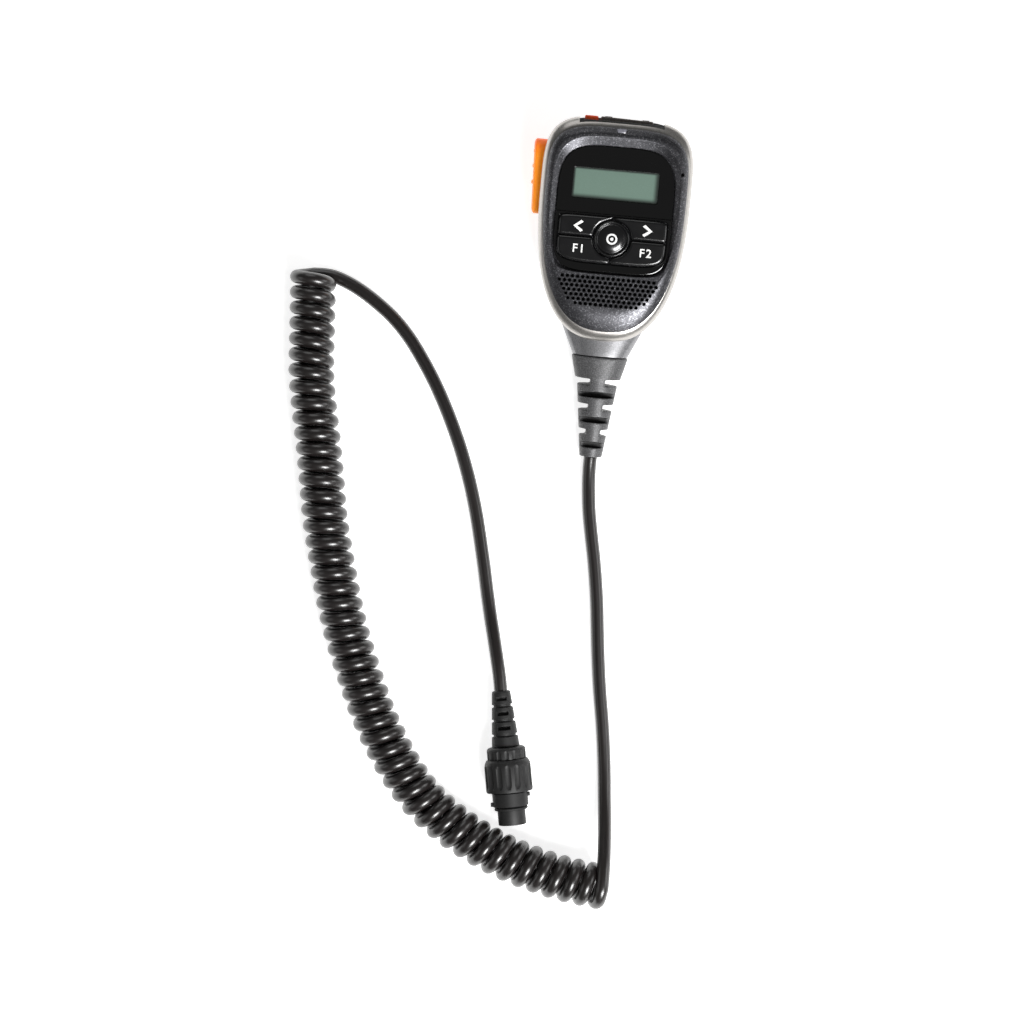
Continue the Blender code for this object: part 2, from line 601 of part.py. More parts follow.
def grille_outline():
    """The lens of the front wall that the sound holes fill."""
    return Outline(GRILLE_HALF_SPAN, GRILLE_TOP + GRILLE_ROW_PITCH / 2,
                   GRILLE_TOP - GRILLE_DEPTH, GRILLE_TOP - GRILLE_ROW_PITCH, 12.0, 2.2)


def grille_places():
    """Centres of the sound holes: staggered rows that shorten towards the bottom."""
    places = []
    lens = grille_outline()
    for row in range(GRILLE_ROWS):
        y = GRILLE_TOP - row * GRILLE_ROW_PITCH
        depth = max(lens.widest - y, 0.0) / (lens.widest - lens.bottom)
        reach = lens.half_width * (1 - depth ** lens.bottom_power) ** (1 / lens.bottom_power)
        shift = GRILLE_PITCH / 2 if row % 2 else 0.0
        count = int((reach - shift) / GRILLE_PITCH)
        xs = [shift + i * GRILLE_PITCH for i in range(count + 1)]
        both = xs + [-x for x in xs if x > 0]
        places += [(x, y) for x in sorted(both)]
    return places


def grille_holes():
    low = GRILLE_FACE - GRILLE_WALL - OVERCUT
    return join_meshes([lathe([(GRILLE_HOLE / 2, GRILLE_FACE + OVERCUT), (GRILLE_HOLE / 2, low)],
                              HOLE_SIDES, place) for place in grille_places()])


def lamp_mesh(clearance=0.0):
    """The indicator's light pipe: a tapered key through the case's top edge."""
    wide = LAMP_WIDTH / 2 + clearance
    narrow = LAMP_WIDTH / 2 - LAMP_TAPER + clearance
    top = LAMP_Y + LAMP_HEIGHT / 2 + clearance
    bottom = LAMP_Y - LAMP_HEIGHT / 2 - clearance
    corners = [(-wide, top), (wide, top), (narrow, bottom), (-narrow, bottom)]
    high = LAMP_LEVEL + (OVERCUT if clearance else 0.0)
    low = -FLANGE_DEPTH + GAP - clearance
    return skin([[Vector((x, y, z)) for x, y in corners] for z in (high, low)])


def trim_ring(seat):
    top = -FLANGE_DEPTH - GAP
    out, down = TRIM_KNEE
    rings = [outline_ring(SHELL_EDGE, top),
             outline_ring(inset(SHELL_EDGE, -out * SIDE_BAND, -out * TOP_BAND, -out * BOTTOM_BAND),
                          top - down * (TRIM_DEPTH + top)),
             outline_ring(CASE, -TRIM_DEPTH + TRIM_EDGE),
             outline_ring(CASE, -TRIM_DEPTH),
             outline_ring(TRIM_INNER, -TRIM_DEPTH),
             outline_ring(TRIM_INNER, top)]
    ring = node("trim_ring", skin(rings, closed=True), "silver_trim", seat)
    cut(ring, "strip_notch_trim", strip_space(GAP), seat)
    return ring


def strip_space(clearance):
    """Where the top control strip lies, through the trim's edge and the rear case's wall."""
    half = STRIP_HALF_LENGTH + clearance
    return box_mesh((-half, STRIP_FACE_Y - STRIP_THICKNESS - clearance, STRIP_REAR_LEVEL - clearance),
                    (half, CASE_TOP + 2 * OVERCUT, STRIP_FRONT_LEVEL + clearance))


def rear_outside(draw_in=0.0):
    """The rear case's outer rings, from the back face to the parting line."""
    whole = inset(CASE, draw_in)
    back = -CASE_DEPTH + draw_in
    return [outline_ring(inset(whole, *BACK_EDGE), back),
            outline_ring(inset(whole, *BACK_ROUND), back + BACK_ROUND_HEIGHT),
            outline_ring(inset(whole, *BACK_SIDE), back + BACK_SIDE_HEIGHT),
            outline_ring(inset(whole, SIDE_DRAFT), SIDE_DRAFT_LEVEL),
            outline_ring(inset(whole, SEAM), REAR_TOP_LEVEL)]


def rear_case(seat):
    outer = rear_outside()
    seat_ring = inset(GASKET_OUTER, -GAP)
    wall_top = inset(GASKET_INNER, -GAP)
    inner = [outline_ring(seat_ring, REAR_TOP_LEVEL),
             outline_ring(seat_ring, GASKET_SEAT_LEVEL),
             outline_ring(wall_top, GASKET_SEAT_LEVEL),
             outline_ring(inset(CASE, *INNER_SIDE), -CASE_DEPTH + INNER_SIDE_HEIGHT),
             outline_ring(inset(CASE, *INNER_BACK), -CASE_DEPTH + WALL)]
    case = node("rear_case", skin(outer + inner), "case_grey", seat)

    neck = []
    for step in range(5):
        share = step / 4
        half = NECK_ROOT_HALF_WIDTH + (NECK_HALF_WIDTH - NECK_ROOT_HALF_WIDTH) * share
        y = NECK_ROOT + (NECK_END - NECK_ROOT) * share
        neck.append(along_ring(half, NECK_HALF_THICKNESS, y, NECK_POWER))
    add(case, "neck", skin(neck), seat)
    posts = join_meshes([lathe([(POST_RADIUS, BOSS_LEVEL - GAP), (POST_RADIUS, -CASE_DEPTH + BITE)],
                               SMALL_ROUND_POINTS, (x, y)) for x, y in SCREW_PLACES])
    post_tool = tool("screw_posts", posts, seat)
    keep(post_tool, "post_envelope", skin(rear_outside(BITE / 2)), seat)
    combine(case, post_tool, "UNION")
    add(case, "stud_boss", lathe([(STUD_BOSS_RADIUS, -CASE_DEPTH + WALL + STUD_BOSS_HEIGHT),
                                  (STUD_BOSS_RADIUS, -CASE_DEPTH + BITE)],
                                 ROUND_POINTS, (0.0, STUD_Y)), seat)
    bore_x, bore_z = NECK_BORE
    cut(case, "neck_bore", skin([along_ring(bore_x, bore_z, NECK_ROOT + 5 * OVERCUT),
                                 along_ring(bore_x, bore_z, NECK_END - OVERCUT)]), seat)
    counterbores = [lathe([(SCREW_HEAD_RADIUS + GAP, SCREW_SEAT_LEVEL),
                           (SCREW_HEAD_RADIUS + GAP, -CASE_DEPTH - OVERCUT)],
                          16, (x, y)) for x, y in SCREW_PLACES]
    cut(case, "screw_counterbores", join_meshes(counterbores), seat)
    holes = [lathe([(SCREW_RADIUS + GAP, BOSS_LEVEL + OVERCUT),
                    (SCREW_RADIUS + GAP, SCREW_SEAT_LEVEL - OVERCUT)],
                   SMALL_ROUND_POINTS, (x, y)) for x, y in SCREW_PLACES]
    cut(case, "screw_holes", join_meshes(holes), seat)
    pilot = STUD_SCREW_RADIUS + GAP
    cut(case, "stud_pilot", lathe([(pilot, stud_screw_tip() + GAP), (pilot, -CASE_DEPTH - OVERCUT)],
                                  SMALL_ROUND_POINTS, (0.0, STUD_Y)), seat)
    cut(case, "ptt_opening", ptt_mesh(SLIDE_GAP), seat)
    cut(case, "strip_notch_rear", strip_space(GAP), seat)
    pockets = join_meshes([top_switch_mesh(x, GAP) for x in TOP_SWITCHES.values()])
    cut(case, "switch_pockets", pockets, seat)
    return case


def ptt_ring(half_length, half_height, x, lean):
    """One section of the push-to-talk button, across its travel."""
    ring = []
    for i in range(PTT_POINTS):
        t = 2 * math.pi * (i + 0.5) / PTT_POINTS
        y = half_length * signed_power(math.cos(t), 2 / PTT_END_POWER)
        z = half_height * signed_power(math.sin(t), 2 / PTT_SIDE_POWER)
        ring.append(Vector((x - lean * y / PTT_HALF_LENGTH, PTT_CENTRE_Y + y, PTT_CENTRE_Z + z)))
    return ring


def ptt_mesh(clearance=0.0):
    """The push-to-talk button, or with a clearance its opening in the case's side."""
    outer = -(CASE_HALF_WIDTH + PTT_PROUD)
    lean = PTT_TAPER / 2
    length = PTT_HALF_LENGTH + clearance
    height = PTT_HALF_HEIGHT + clearance
    if clearance:
        return skin([ptt_ring(length, height, outer - OVERCUT, 0.0),
                     ptt_ring(length, height, PTT_INNER_X + 3 * OVERCUT, 0.0)])
    face = [ptt_ring(length - drawn * PTT_EDGE, height - drawn * PTT_EDGE,
                     outer + lean + down * PTT_EDGE, lean) for drawn, down in PTT_ROUNDING]
    return skin(face + [ptt_ring(length, height, PTT_INNER_X, 0.0)])


def side_control(seat):
    button = node("ptt_button", ptt_mesh(), "safety_orange", seat,
                  (-(CASE_HALF_WIDTH + PTT_PROUD), PTT_CENTRE_Y, PTT_CENTRE_Z))
    near = PTT_INNER_X + PTT_TRAVEL + SWITCH_GAP
    half = SWITCH_WIDTH / 2
    node("ptt_switch", box_mesh((near, PTT_CENTRE_Y - half, PTT_CENTRE_Z - half),
                                (near + SWITCH_DEPTH, PTT_CENTRE_Y + half, PTT_CENTRE_Z + half)),
         "seal_black", seat)
    return button


def top_key_mesh(centre_x, length, clearance=0.0, taper=0.0):
    """A key of the top strip: its face stands proud of the strip, its foot goes inside."""
    half = length / 2 + clearance
    front = TOP_KEY_FRONT_LEVEL + clearance
    rear = TOP_KEY_REAR_LEVEL - clearance
    face = TOP_KEY_FACE_Y + (2 * OVERCUT if clearance else 0.0)
    foot = TOP_KEY_INNER_Y - (2 * OVERCUT if clearance else 0.0)
    edge = 0.0 if clearance else TOP_KEY_EDGE
    shoulder = face - (GAP if clearance else edge)
    rings = []
    for y, draw_in in ((face, edge), (shoulder, 0.0), (foot, 0.0)):
        reach = half - draw_in
        drop = taper if y > STRIP_FACE_Y else 0.0
        rings.append([Vector((centre_x - reach, y, front - draw_in)),
                      Vector((centre_x + reach, y - drop, front - draw_in)),
                      Vector((centre_x + reach, y - drop, rear + draw_in)),
                      Vector((centre_x - reach, y, rear + draw_in))])
    return skin(rings)


def top_controls(seat):
    strip = node("top_seal_strip", box_mesh((-STRIP_HALF_LENGTH, STRIP_FACE_Y - STRIP_THICKNESS,
                                             STRIP_REAR_LEVEL),
                                            (STRIP_HALF_LENGTH, STRIP_FACE_Y, STRIP_FRONT_LEVEL)),
                 "seal_black", seat)
    cut(strip, "alarm_hole", top_key_mesh(ALARM_CENTRE_X, ALARM_WIDTH, SLIDE_GAP), seat)
    cut(strip, "rocker_hole", top_key_mesh(ROCKER_CENTRE_X, ROCKER_LENGTH, SLIDE_GAP), seat)
    middle = (TOP_KEY_FRONT_LEVEL + TOP_KEY_REAR_LEVEL) / 2
    node("alarm_key", top_key_mesh(ALARM_CENTRE_X, ALARM_WIDTH), "alarm_red", seat,
         (ALARM_CENTRE_X, TOP_KEY_FACE_Y, middle))
    node("volume_rocker", top_key_mesh(ROCKER_CENTRE_X, ROCKER_LENGTH, 0.0, ROCKER_TAPER),
         "rocker_grey", seat, (ROCKER_CENTRE_X, rocker_pivot_y(), middle))
    for name, x in TOP_SWITCHES.items():
        node(name, top_switch_mesh(x), "seal_black", seat)


def top_switch_mesh(x, clearance=0.0):
    """A switch under a key of the top strip, or with a clearance the pocket that it sits in."""
    half = TOP_SWITCH_HALF_WIDTH + clearance
    top = TOP_KEY_INNER_Y - ALARM_TRAVEL - SWITCH_GAP
    low = top - TOP_SWITCH_HEIGHT - (4 * OVERCUT if clearance else 0.0)
    return box_mesh((x - half, low, STRIP_REAR_LEVEL - clearance),
                    (x + half, top + (OVERCUT if clearance else 0.0), TOP_SWITCH_LEVEL + clearance))


def rocker_pivot_y():
    return STRIP_FACE_Y - STRIP_THICKNESS / 2


def window_parts(seat):
    window = node("display_window", skin([outline_ring(inset(RECESS, GAP), PANEL_LEVEL),
                                          outline_ring(inset(RECESS, GAP), LEDGE_LEVEL + GAP)]),
                  "window_black", seat)
    keep(window, "window_part", box_mesh((-CASE_HALF_WIDTH, WINDOW_BOTTOM, LEDGE_LEVEL - OVERCUT),
                                         (CASE_HALF_WIDTH, CASE_TOP, OVERCUT)), seat)
    cx, cy = DISPLAY_CENTRE
    half_w = DISPLAY_WIDTH / 2 + DISPLAY_BORDER
    half_h = DISPLAY_HEIGHT / 2 + DISPLAY_BORDER
    top = LEDGE_LEVEL
    node("display_module", box_mesh((cx - half_w, cy - half_h, top - DISPLAY_THICKNESS),
                                    (cx + half_w, cy + half_h, top)), "display_glass", seat)
    node("indicator_light_pipe", lamp_mesh(), "lamp_clear", seat)


def keys(seat):
    bezel = node("key_bezel", skin([outline_ring(inset(RECESS, GAP), BEZEL_LEVEL),
                                    outline_ring(inset(RECESS, GAP), LEDGE_LEVEL + GAP)]),
                 "window_black", seat)
    keep(bezel, "bezel_part", box_mesh((-CASE_HALF_WIDTH, CASE_BOTTOM, LEDGE_LEVEL - OVERCUT),
                                       (CASE_HALF_WIDTH, WINDOW_BOTTOM - GAP, OVERCUT)), seat)
    cut(bezel, "bezel_opening", skin([outline_ring(KEY_OPENING, OVERCUT),
                                      outline_ring(KEY_OPENING, LEDGE_LEVEL - OVERCUT)]), seat)
    x, y = CENTRE_KEY
    half_seam = KEY_SEAM / 2
    low, high = KEY_UNDERSIDE - OVERCUT, KEY_TOP_LEVEL + OVERCUT
    far = CASE_HALF_WIDTH
    quarters = {
        "key_left": ((-far, KEY_ROW_SEAM + half_seam), (x - half_seam, CASE_TOP)),
        "key_right": ((x + half_seam, KEY_ROW_SEAM + half_seam), (far, CASE_TOP)),
        "key_f1": ((-far, CASE_BOTTOM), (x - half_seam, KEY_ROW_SEAM - half_seam)),
        "key_f2": ((x + half_seam, CASE_BOTTOM), (far, KEY_ROW_SEAM - half_seam)),
    }
    for name, (near, opposite) in quarters.items():
        slab = skin([outline_ring(inset(KEYS, KEY_EDGE), KEY_TOP_LEVEL),
                     outline_ring(KEYS, KEY_TOP_LEVEL - KEY_EDGE),
                     outline_ring(KEYS, KEY_UNDERSIDE)])
        key = node(name, slab, "key_black", seat)
        keep(key, f"{name}_part", box_mesh((*near, low), (*opposite, high)), seat)
        cut(key, f"{name}_round", lathe([(CENTRE_KEY_RADIUS + KEY_SEAM, high),
                                         (CENTRE_KEY_RADIUS + KEY_SEAM, low)],
                                        KEY_ROUND_POINTS, CENTRE_KEY), seat)
    dish_level = KEY_TOP_LEVEL + CENTRE_KEY_PROUD
    profile = [(0.3 * CENTRE_KEY_RADIUS, dish_level - CENTRE_KEY_DISH),
               (0.65 * CENTRE_KEY_RADIUS, dish_level - 0.55 * CENTRE_KEY_DISH),
               (CENTRE_KEY_RADIUS - CENTRE_KEY_RIM, dish_level),
               (CENTRE_KEY_RADIUS - 0.35 * CENTRE_KEY_RIM, dish_level),
               (CENTRE_KEY_RADIUS, dish_level - KEY_EDGE),
               (CENTRE_KEY_RADIUS, KEY_UNDERSIDE)]
    node("key_centre", lathe(profile, KEY_ROUND_POINTS, CENTRE_KEY), "key_black", seat,
         (x, y, KEY_TOP_LEVEL))
    mat_outline = inset(KEY_OPENING, GAP)
    node("keypad_mat", skin([outline_ring(mat_outline, MAT_LEVEL),
                             outline_ring(mat_outline, MAT_LEVEL - MAT_THICKNESS)]),
         "seal_black", seat)


def inside(seat):
    half = BOARD_HALF_WIDTH
    low = BOARD_LEVEL - BOARD_THICKNESS
    node("main_board", box_mesh((-half, BOARD_BOTTOM, low), (half, BOARD_TOP, BOARD_LEVEL)),
         "board_green", seat)
    near = BOARD_BOTTOM + CONNECTOR_PLACE
    node("board_connector", box_mesh((-CONNECTOR_HALF, near, low - GAP - CONNECTOR_HEIGHT),
                                     (CONNECTOR_HALF, near + CONNECTOR_LENGTH, low - GAP)),
         "seal_black", seat)
    centre = BOARD_TOP - CHIP_PLACE
    node("radio_chip", box_mesh((-CHIP_HALF, centre - CHIP_HALF, low - GAP - CHIP_THICKNESS),
                                (CHIP_HALF, centre + CHIP_HALF, low - GAP)),
         "seal_black", seat)
    place = (0.0, SPEAKER_Y)
    felt_top = GRILLE_FACE - GRILLE_WALL - GAP
    felt = inset(grille_outline(), -FELT_MARGIN)
    node("speaker_felt", skin([outline_ring(felt, felt_top, 32),
                               outline_ring(felt, felt_top - FELT_THICKNESS, 32)]),
         "seal_black", seat)
    rim = FRONT_WALL_LEVEL - GAP
    bottom = rim - SPEAKER_DEPTH
    inner_radius = SPEAKER_RADIUS - SPEAKER_WALL
    node("speaker_frame", lathe([(MAGNET_RADIUS, bottom), (MAGNET_RADIUS + 2 * SPEAKER_WALL, bottom),
                                 (SPEAKER_RADIUS, rim - SPEAKER_RIM), (SPEAKER_RADIUS, rim),
                                 (inner_radius, rim), (inner_radius, rim - SPEAKER_RIM),
                                 (MAGNET_RADIUS + SPEAKER_WALL, bottom + SPEAKER_WALL)],
                                ROUND_POINTS, place), "steel", seat)
    cone_edge = inner_radius - GAP
    cone_top = rim - GAP
    node("speaker_cone", lathe([(CONE_RADIUS, cone_top - CONE_DROP), (cone_edge, cone_top),
                                (cone_edge, cone_top - CONE_THICKNESS),
                                (CONE_RADIUS, cone_top - CONE_DROP - CONE_THICKNESS)],
                               ROUND_POINTS, place), "seal_black", seat)
    node("speaker_magnet", lathe([(MAGNET_RADIUS, bottom - GAP),
                                  (MAGNET_RADIUS, bottom - GAP - MAGNET_DEPTH)],
                                 ROUND_POINTS, place), "steel", seat)
    x = BOARD_HALF_WIDTH - CAPSULE_RADIUS - HOLDER_WALL
    capsule_place = (x, SOUND_HOLE_PLACE[1])
    top = low - GAP
    reach = CAPSULE_RADIUS + GAP
    node("mic_capsule", lathe([(CAPSULE_RADIUS, top - GAP), (CAPSULE_RADIUS, top - CAPSULE_LENGTH)],
                              SMALL_ROUND_POINTS, capsule_place), "steel", seat)
    node("mic_holder", lathe_loop([(reach + HOLDER_WALL, top),
                                   (reach + HOLDER_WALL, top - CAPSULE_LENGTH),
                                   (reach, top - CAPSULE_LENGTH), (reach, top)],
                                  SMALL_ROUND_POINTS, capsule_place), "seal_black", seat)
    gasket_top = -SKIRT_DEPTH - GAP
    node("case_gasket", skin([outline_ring(GASKET_OUTER, gasket_top),
                              outline_ring(GASKET_OUTER, gasket_top - GASKET_THICKNESS),
                              outline_ring(GASKET_INNER, gasket_top - GASKET_THICKNESS),
                              outline_ring(GASKET_INNER, gasket_top)], closed=True),
         "seal_black", seat)


def stud_screw_tip():
    return STUD_FACE_LEVEL + STUD_SCREW_HEAD_HEIGHT + STUD_SCREW_LENGTH


def fasteners(seat):
    for number, (x, y) in enumerate(SCREW_PLACES, 1):
        head_top = SCREW_SEAT_LEVEL - GAP
        node(f"case_screw_{number}",
             lathe([(SCREW_RADIUS, SCREW_TIP_LEVEL), (SCREW_RADIUS, head_top),
                    (SCREW_HEAD_RADIUS, head_top), (SCREW_HEAD_RADIUS, head_top - SCREW_HEAD_RIM),
                    (0.7 * SCREW_HEAD_RADIUS, head_top - SCREW_HEAD_HEIGHT)],
                   SMALL_ROUND_POINTS, (x, y)), "steel", seat)
    back = -CASE_DEPTH - GAP
    hole = STUD_SCREW_RADIUS + GAP
    sink = STUD_SCREW_HEAD_RADIUS + GAP
    face = STUD_FACE_LEVEL
    bottom_of_sink = face + STUD_SCREW_HEAD_HEIGHT + GAP
    neck_end = back - STUD_NECK_HEIGHT
    node("hang_stud", lathe_loop([(STUD_NECK_RADIUS, back), (STUD_NECK_RADIUS, neck_end),
                                  (STUD_HEAD_RADIUS - STUD_EDGE, neck_end),
                                  (STUD_HEAD_RADIUS, neck_end - STUD_EDGE),
                                  (STUD_HEAD_RADIUS, face + STUD_FACE_EDGE),
                                  (STUD_HEAD_RADIUS - STUD_FACE_EDGE, face),
                                  (sink, face), (sink, bottom_of_sink),
                                  (hole, bottom_of_sink), (hole, back)],
                                 ROUND_POINTS, (0.0, STUD_Y)), "case_grey", seat)
    head_high = face + STUD_SCREW_HEAD_HEIGHT
    node("stud_screw", lathe([(STUD_SCREW_HEAD_RADIUS, face + STUD_SCREW_SUNK),
                              (STUD_SCREW_HEAD_RADIUS, head_high),
                              (STUD_SCREW_RADIUS, head_high),
                              (STUD_SCREW_RADIUS, stud_screw_tip())],
                             SMALL_ROUND_POINTS, (0.0, STUD_Y)), "steel", seat)


def boot_half_sizes(y):
    """Half width and half thickness of the boot's tapered part."""
    share = (y - BOOT_COLLAR_END) / (BOOT_END - BOOT_COLLAR_END)
    return (BOOT_SHOULDER_HALF_WIDTH + (BOOT_TIP_HALF_WIDTH - BOOT_SHOULDER_HALF_WIDTH) * share,
            BOOT_SHOULDER_HALF_THICKNESS
            + (BOOT_TIP_HALF_THICKNESS - BOOT_SHOULDER_HALF_THICKNESS) * share)


def cord_boot(seat):
    bore_x, bore_z = NECK_BORE
    start = NECK_END - GAP
    rings = [along_ring(bore_x - GAP, bore_z - GAP, start + SPIGOT_LENGTH),
             along_ring(bore_x - GAP, bore_z - GAP, start),
             along_ring(NECK_HALF_WIDTH + BOOT_LIP, NECK_HALF_THICKNESS, start, BOOT_POWER),
             along_ring(BOOT_COLLAR_HALF_WIDTH, BOOT_SHOULDER_HALF_THICKNESS + BOOT_LIP,
                        BOOT_COLLAR_END),
             along_ring(*boot_half_sizes(BOOT_END + BOOT_TIP_EDGE), BOOT_END + BOOT_TIP_EDGE),
             along_ring(BOOT_TIP_HALF_WIDTH, BOOT_TIP_HALF_THICKNESS, BOOT_END)]
    boot = node("cord_boot", skin(rings), "boot_grey", seat)
    notches = []
    slots = []
    far = BOOT_COLLAR_HALF_WIDTH + 2 * OVERCUT
    for block in range(BOOT_BLOCKS):
        y = BOOT_COLLAR_END - block * BOOT_BLOCK_PITCH
        middle = y - BOOT_NOTCH - (BOOT_BLOCK_PITCH - BOOT_NOTCH) / 2
        for side in (-1, 1):
            ends = sorted((side * BOOT_WEB, side * far))
            notches.append(box_mesh((ends[0], y - BOOT_NOTCH, CORD_AXIS_Z - far),
                                    (ends[1], y, CORD_AXIS_Z + far)))
            slots.append(box_mesh((-far, middle - BOOT_SLOT / 2, CORD_AXIS_Z + ends[0]),
                                  (far, middle + BOOT_SLOT / 2, CORD_AXIS_Z + ends[1])))
    cut(boot, "boot_notches", join_meshes(notches), seat)
    cut(boot, "boot_slots", join_meshes(slots), seat)
    inner_end = start + SPIGOT_LENGTH + GAP
    node("cord_clamp", skin([along_ring(bore_x - GAP, bore_z - GAP, inner_end, count=24),
                             along_ring(bore_x - GAP, bore_z - GAP, inner_end + CLAMP_LENGTH,
                                        count=24)]), "plug_black", seat)
    return boot


def microphone():
    seat = bpy.data.objects.new("microphone_seat", None)
    bpy.context.scene.collection.objects.link(seat)
    seat.rotation_euler = (seat_tilt(), 0.0, 0.0)
    front_case(seat)
    trim_ring(seat)
    rear_case(seat)
    window_parts(seat)
    keys(seat)
    side_control(seat)
    top_controls(seat)
    inside(seat)
    fasteners(seat)
    cord_boot(seat)
    return seat


def smooth_path(route, spacing):
    """Points at an even spacing along a smooth curve through a route's points."""
    ends = [2 * route[0] - route[1]] + route + [2 * route[-1] - route[-2]]
    fine = []
    for a, b, c, d in zip(ends, ends[1:], ends[2:], ends[3:]):
        for step in range(12):
            t = step / 12
            fine.append(0.5 * (2 * b + (c - a) * t + (2 * a - 5 * b + 4 * c - d) * t ** 2
                               + (3 * b - 3 * c + d - a) * t ** 3))
    fine.append(route[-1])
    lengths = [0.0]
    for a, b in zip(fine, fine[1:]):
        lengths.append(lengths[-1] + (b - a).length)
    count = max(2, round(lengths[-1] / spacing))
    points = []
    at = 0
    for i in range(count + 1):
        wanted = lengths[-1] * i / count
        while at < len(fine) - 2 and lengths[at + 1] < wanted:
            at += 1
        share = (wanted - lengths[at]) / (lengths[at + 1] - lengths[at])
        points.append(fine[at].lerp(fine[at + 1], min(share, 1.0)))
    return points


def tube(name, route, diameter, spacing, finish, resolution=2):
    """A curve with a round section and filled ends along a route given in millimetres."""
    points = smooth_path([Vector(p) * MM for p in route], spacing)
    curve = bpy.data.curves.new(name, "CURVE")
    curve.dimensions = "3D"
    curve.bevel_depth = diameter / 2
    curve.bevel_resolution = resolution
    curve.render_resolution_u = 0
    curve.use_fill_caps = True
    spline = curve.splines.new("POLY")
    spline.points.add(len(points) - 1)
    for place, point in zip(spline.points, points):
        place.co = (*point, 1.0)
    curve.materials.append(material(finish, *FINISHES[finish]))
    ob = bpy.data.objects.new(name, curve)
    bpy.context.scene.collection.objects.link(ob)
    return ob


def cords():
    step = CORD_POINT_SPACING * CORD_DIAMETER
    tube("cord_lead", LEAD_ROUTE, CORD_DIAMETER, step, "cord_black")
    tube("cord_coil", COIL_ROUTE, COIL_DIAMETER, COIL_POINT_SPACING * COIL_DIAMETER, "cord_black", 4)
    tube("cord_tail", TAIL_ROUTE, CORD_DIAMETER, step, "cord_black")


def fluted_ring(radius, level, depth=0.0):
    """A circle of the coupling sleeve, with shallow grooves where depth is given."""
    count = 3 * SLEEVE_FLUTES
    ring = []
    for i in range(count):
        r = radius - (depth if i % 3 == 0 else 0.0)
        t = 2 * math.pi * i / count
        ring.append(Vector((r * math.cos(t), r * math.sin(t), level)))
    return ring


def plug_boot(seat):
    slope = (PLUG_BOOT_LARGE_RADIUS - PLUG_BOOT_SMALL_RADIUS) / PLUG_BOOT_LENGTH
    boot = node("plug_boot", lathe([(PLUG_BOOT_SMALL_RADIUS - PLUG_BOOT_EDGE, 0.0),
                                    (PLUG_BOOT_SMALL_RADIUS + PLUG_BOOT_EDGE * slope, PLUG_BOOT_EDGE),
                                    (PLUG_BOOT_LARGE_RADIUS, PLUG_BOOT_LENGTH)]),
                "plug_black", seat)
    slots = []
    far = PLUG_BOOT_LARGE_RADIUS + OVERCUT
    for i in range(PLUG_BOOT_SLOTS):
        middle = PLUG_BOOT_FIRST_SLOT + PLUG_BOOT_SLOT_PITCH * i
        low, high = middle - PLUG_BOOT_SLOT / 2, middle + PLUG_BOOT_SLOT / 2
        for side in (-1, 1):
            near, out = sorted((side * PLUG_BOOT_CORE, side * far))
            if i % 2:
                slots.append(box_mesh((near, -far, low), (out, far, high)))
            else:
                slots.append(box_mesh((-far, near, low), (far, out, high)))
    cut(boot, "plug_boot_slots", join_meshes(slots), seat)


def plug_levels():
    """Where each piece of the connector starts, measured along its axis."""
    nut = PLUG_BOOT_LENGTH + GAP
    sleeve = nut + NUT_LENGTH + TURN_GAP
    ring = sleeve + SLEEVE_LENGTH + TURN_GAP
    barrel = ring + SHELL_RING_LENGTH
    return nut, sleeve, ring, barrel, barrel + BARREL_LENGTH


def plug_shell(seat):
    nut, sleeve, ring, barrel, rim = plug_levels()
    bore = BARREL_RADIUS - BARREL_WALL
    bottom = rim - INSERT_RECESS - INSERT_THICKNESS - GAP
    shell = node("plug_shell", lathe([(SHELL_CORE_RADIUS, sleeve - TURN_GAP + GAP),
                                      (SHELL_CORE_RADIUS, ring), (SHELL_RING_RADIUS, ring),
                                      (SHELL_RING_RADIUS, barrel), (BARREL_RADIUS, barrel),
                                      (BARREL_RADIUS, rim - PLUG_EDGE),
                                      (BARREL_RADIUS - PLUG_EDGE, rim), (bore, rim),
                                      (bore, bottom)]), "plug_black", seat)
    lugs = []
    for side, back_off in ((-1, 0.0), (1, LUG_STEP)):
        near, out = sorted((side * (SHELL_CORE_RADIUS - BITE), side * (SHELL_RING_RADIUS + LUG_PROUD)))
        high = barrel - GAP - back_off
        lugs.append(box_mesh((near, -LUG_WIDTH / 2, high - LUG_LENGTH), (out, LUG_WIDTH / 2, high)))
    add(shell, "bayonet_lugs", join_meshes(lugs), seat)
    inner = BARREL_RADIUS + GAP
    outer = inner + SEAL_THICKNESS
    low, high = barrel + GAP, barrel + GAP + SEAL_LENGTH
    node("plug_o_ring", lathe_loop([(inner, low), (outer, low + PLUG_EDGE), (outer, high - PLUG_EDGE),
                                    (inner, high)]), "seal_black", seat)


def pin_places():
    return [(PIN_CIRCLE_RADIUS * math.cos(2 * math.pi * i / PIN_COUNT),
             PIN_CIRCLE_RADIUS * math.sin(2 * math.pi * i / PIN_COUNT)) for i in range(PIN_COUNT)]


def contacts(seat):
    face = plug_levels()[-1] - INSERT_RECESS
    insert = node("contact_insert",
                  lathe([(BARREL_RADIUS - BARREL_WALL - GAP, face - INSERT_THICKNESS),
                         (BARREL_RADIUS - BARREL_WALL - GAP, face)]), "seal_black", seat)
    holes = [lathe([(PIN_HOLE_RADIUS, face + OVERCUT),
                    (PIN_HOLE_RADIUS, face - PIN_SUNK - GAP)], 8, place) for place in pin_places()]
    cut(insert, "pin_holes", join_meshes(holes), seat)
    for number, place in enumerate(pin_places(), 1):
        node(f"contact_pin_{number}",
             lathe([(PIN_RADIUS, face - PIN_SUNK), (PIN_RADIUS, face + PIN_PROUD - PIN_POINT),
                    (0.5 * PIN_RADIUS, face + PIN_PROUD)], 8, place), "brass_gold", seat)


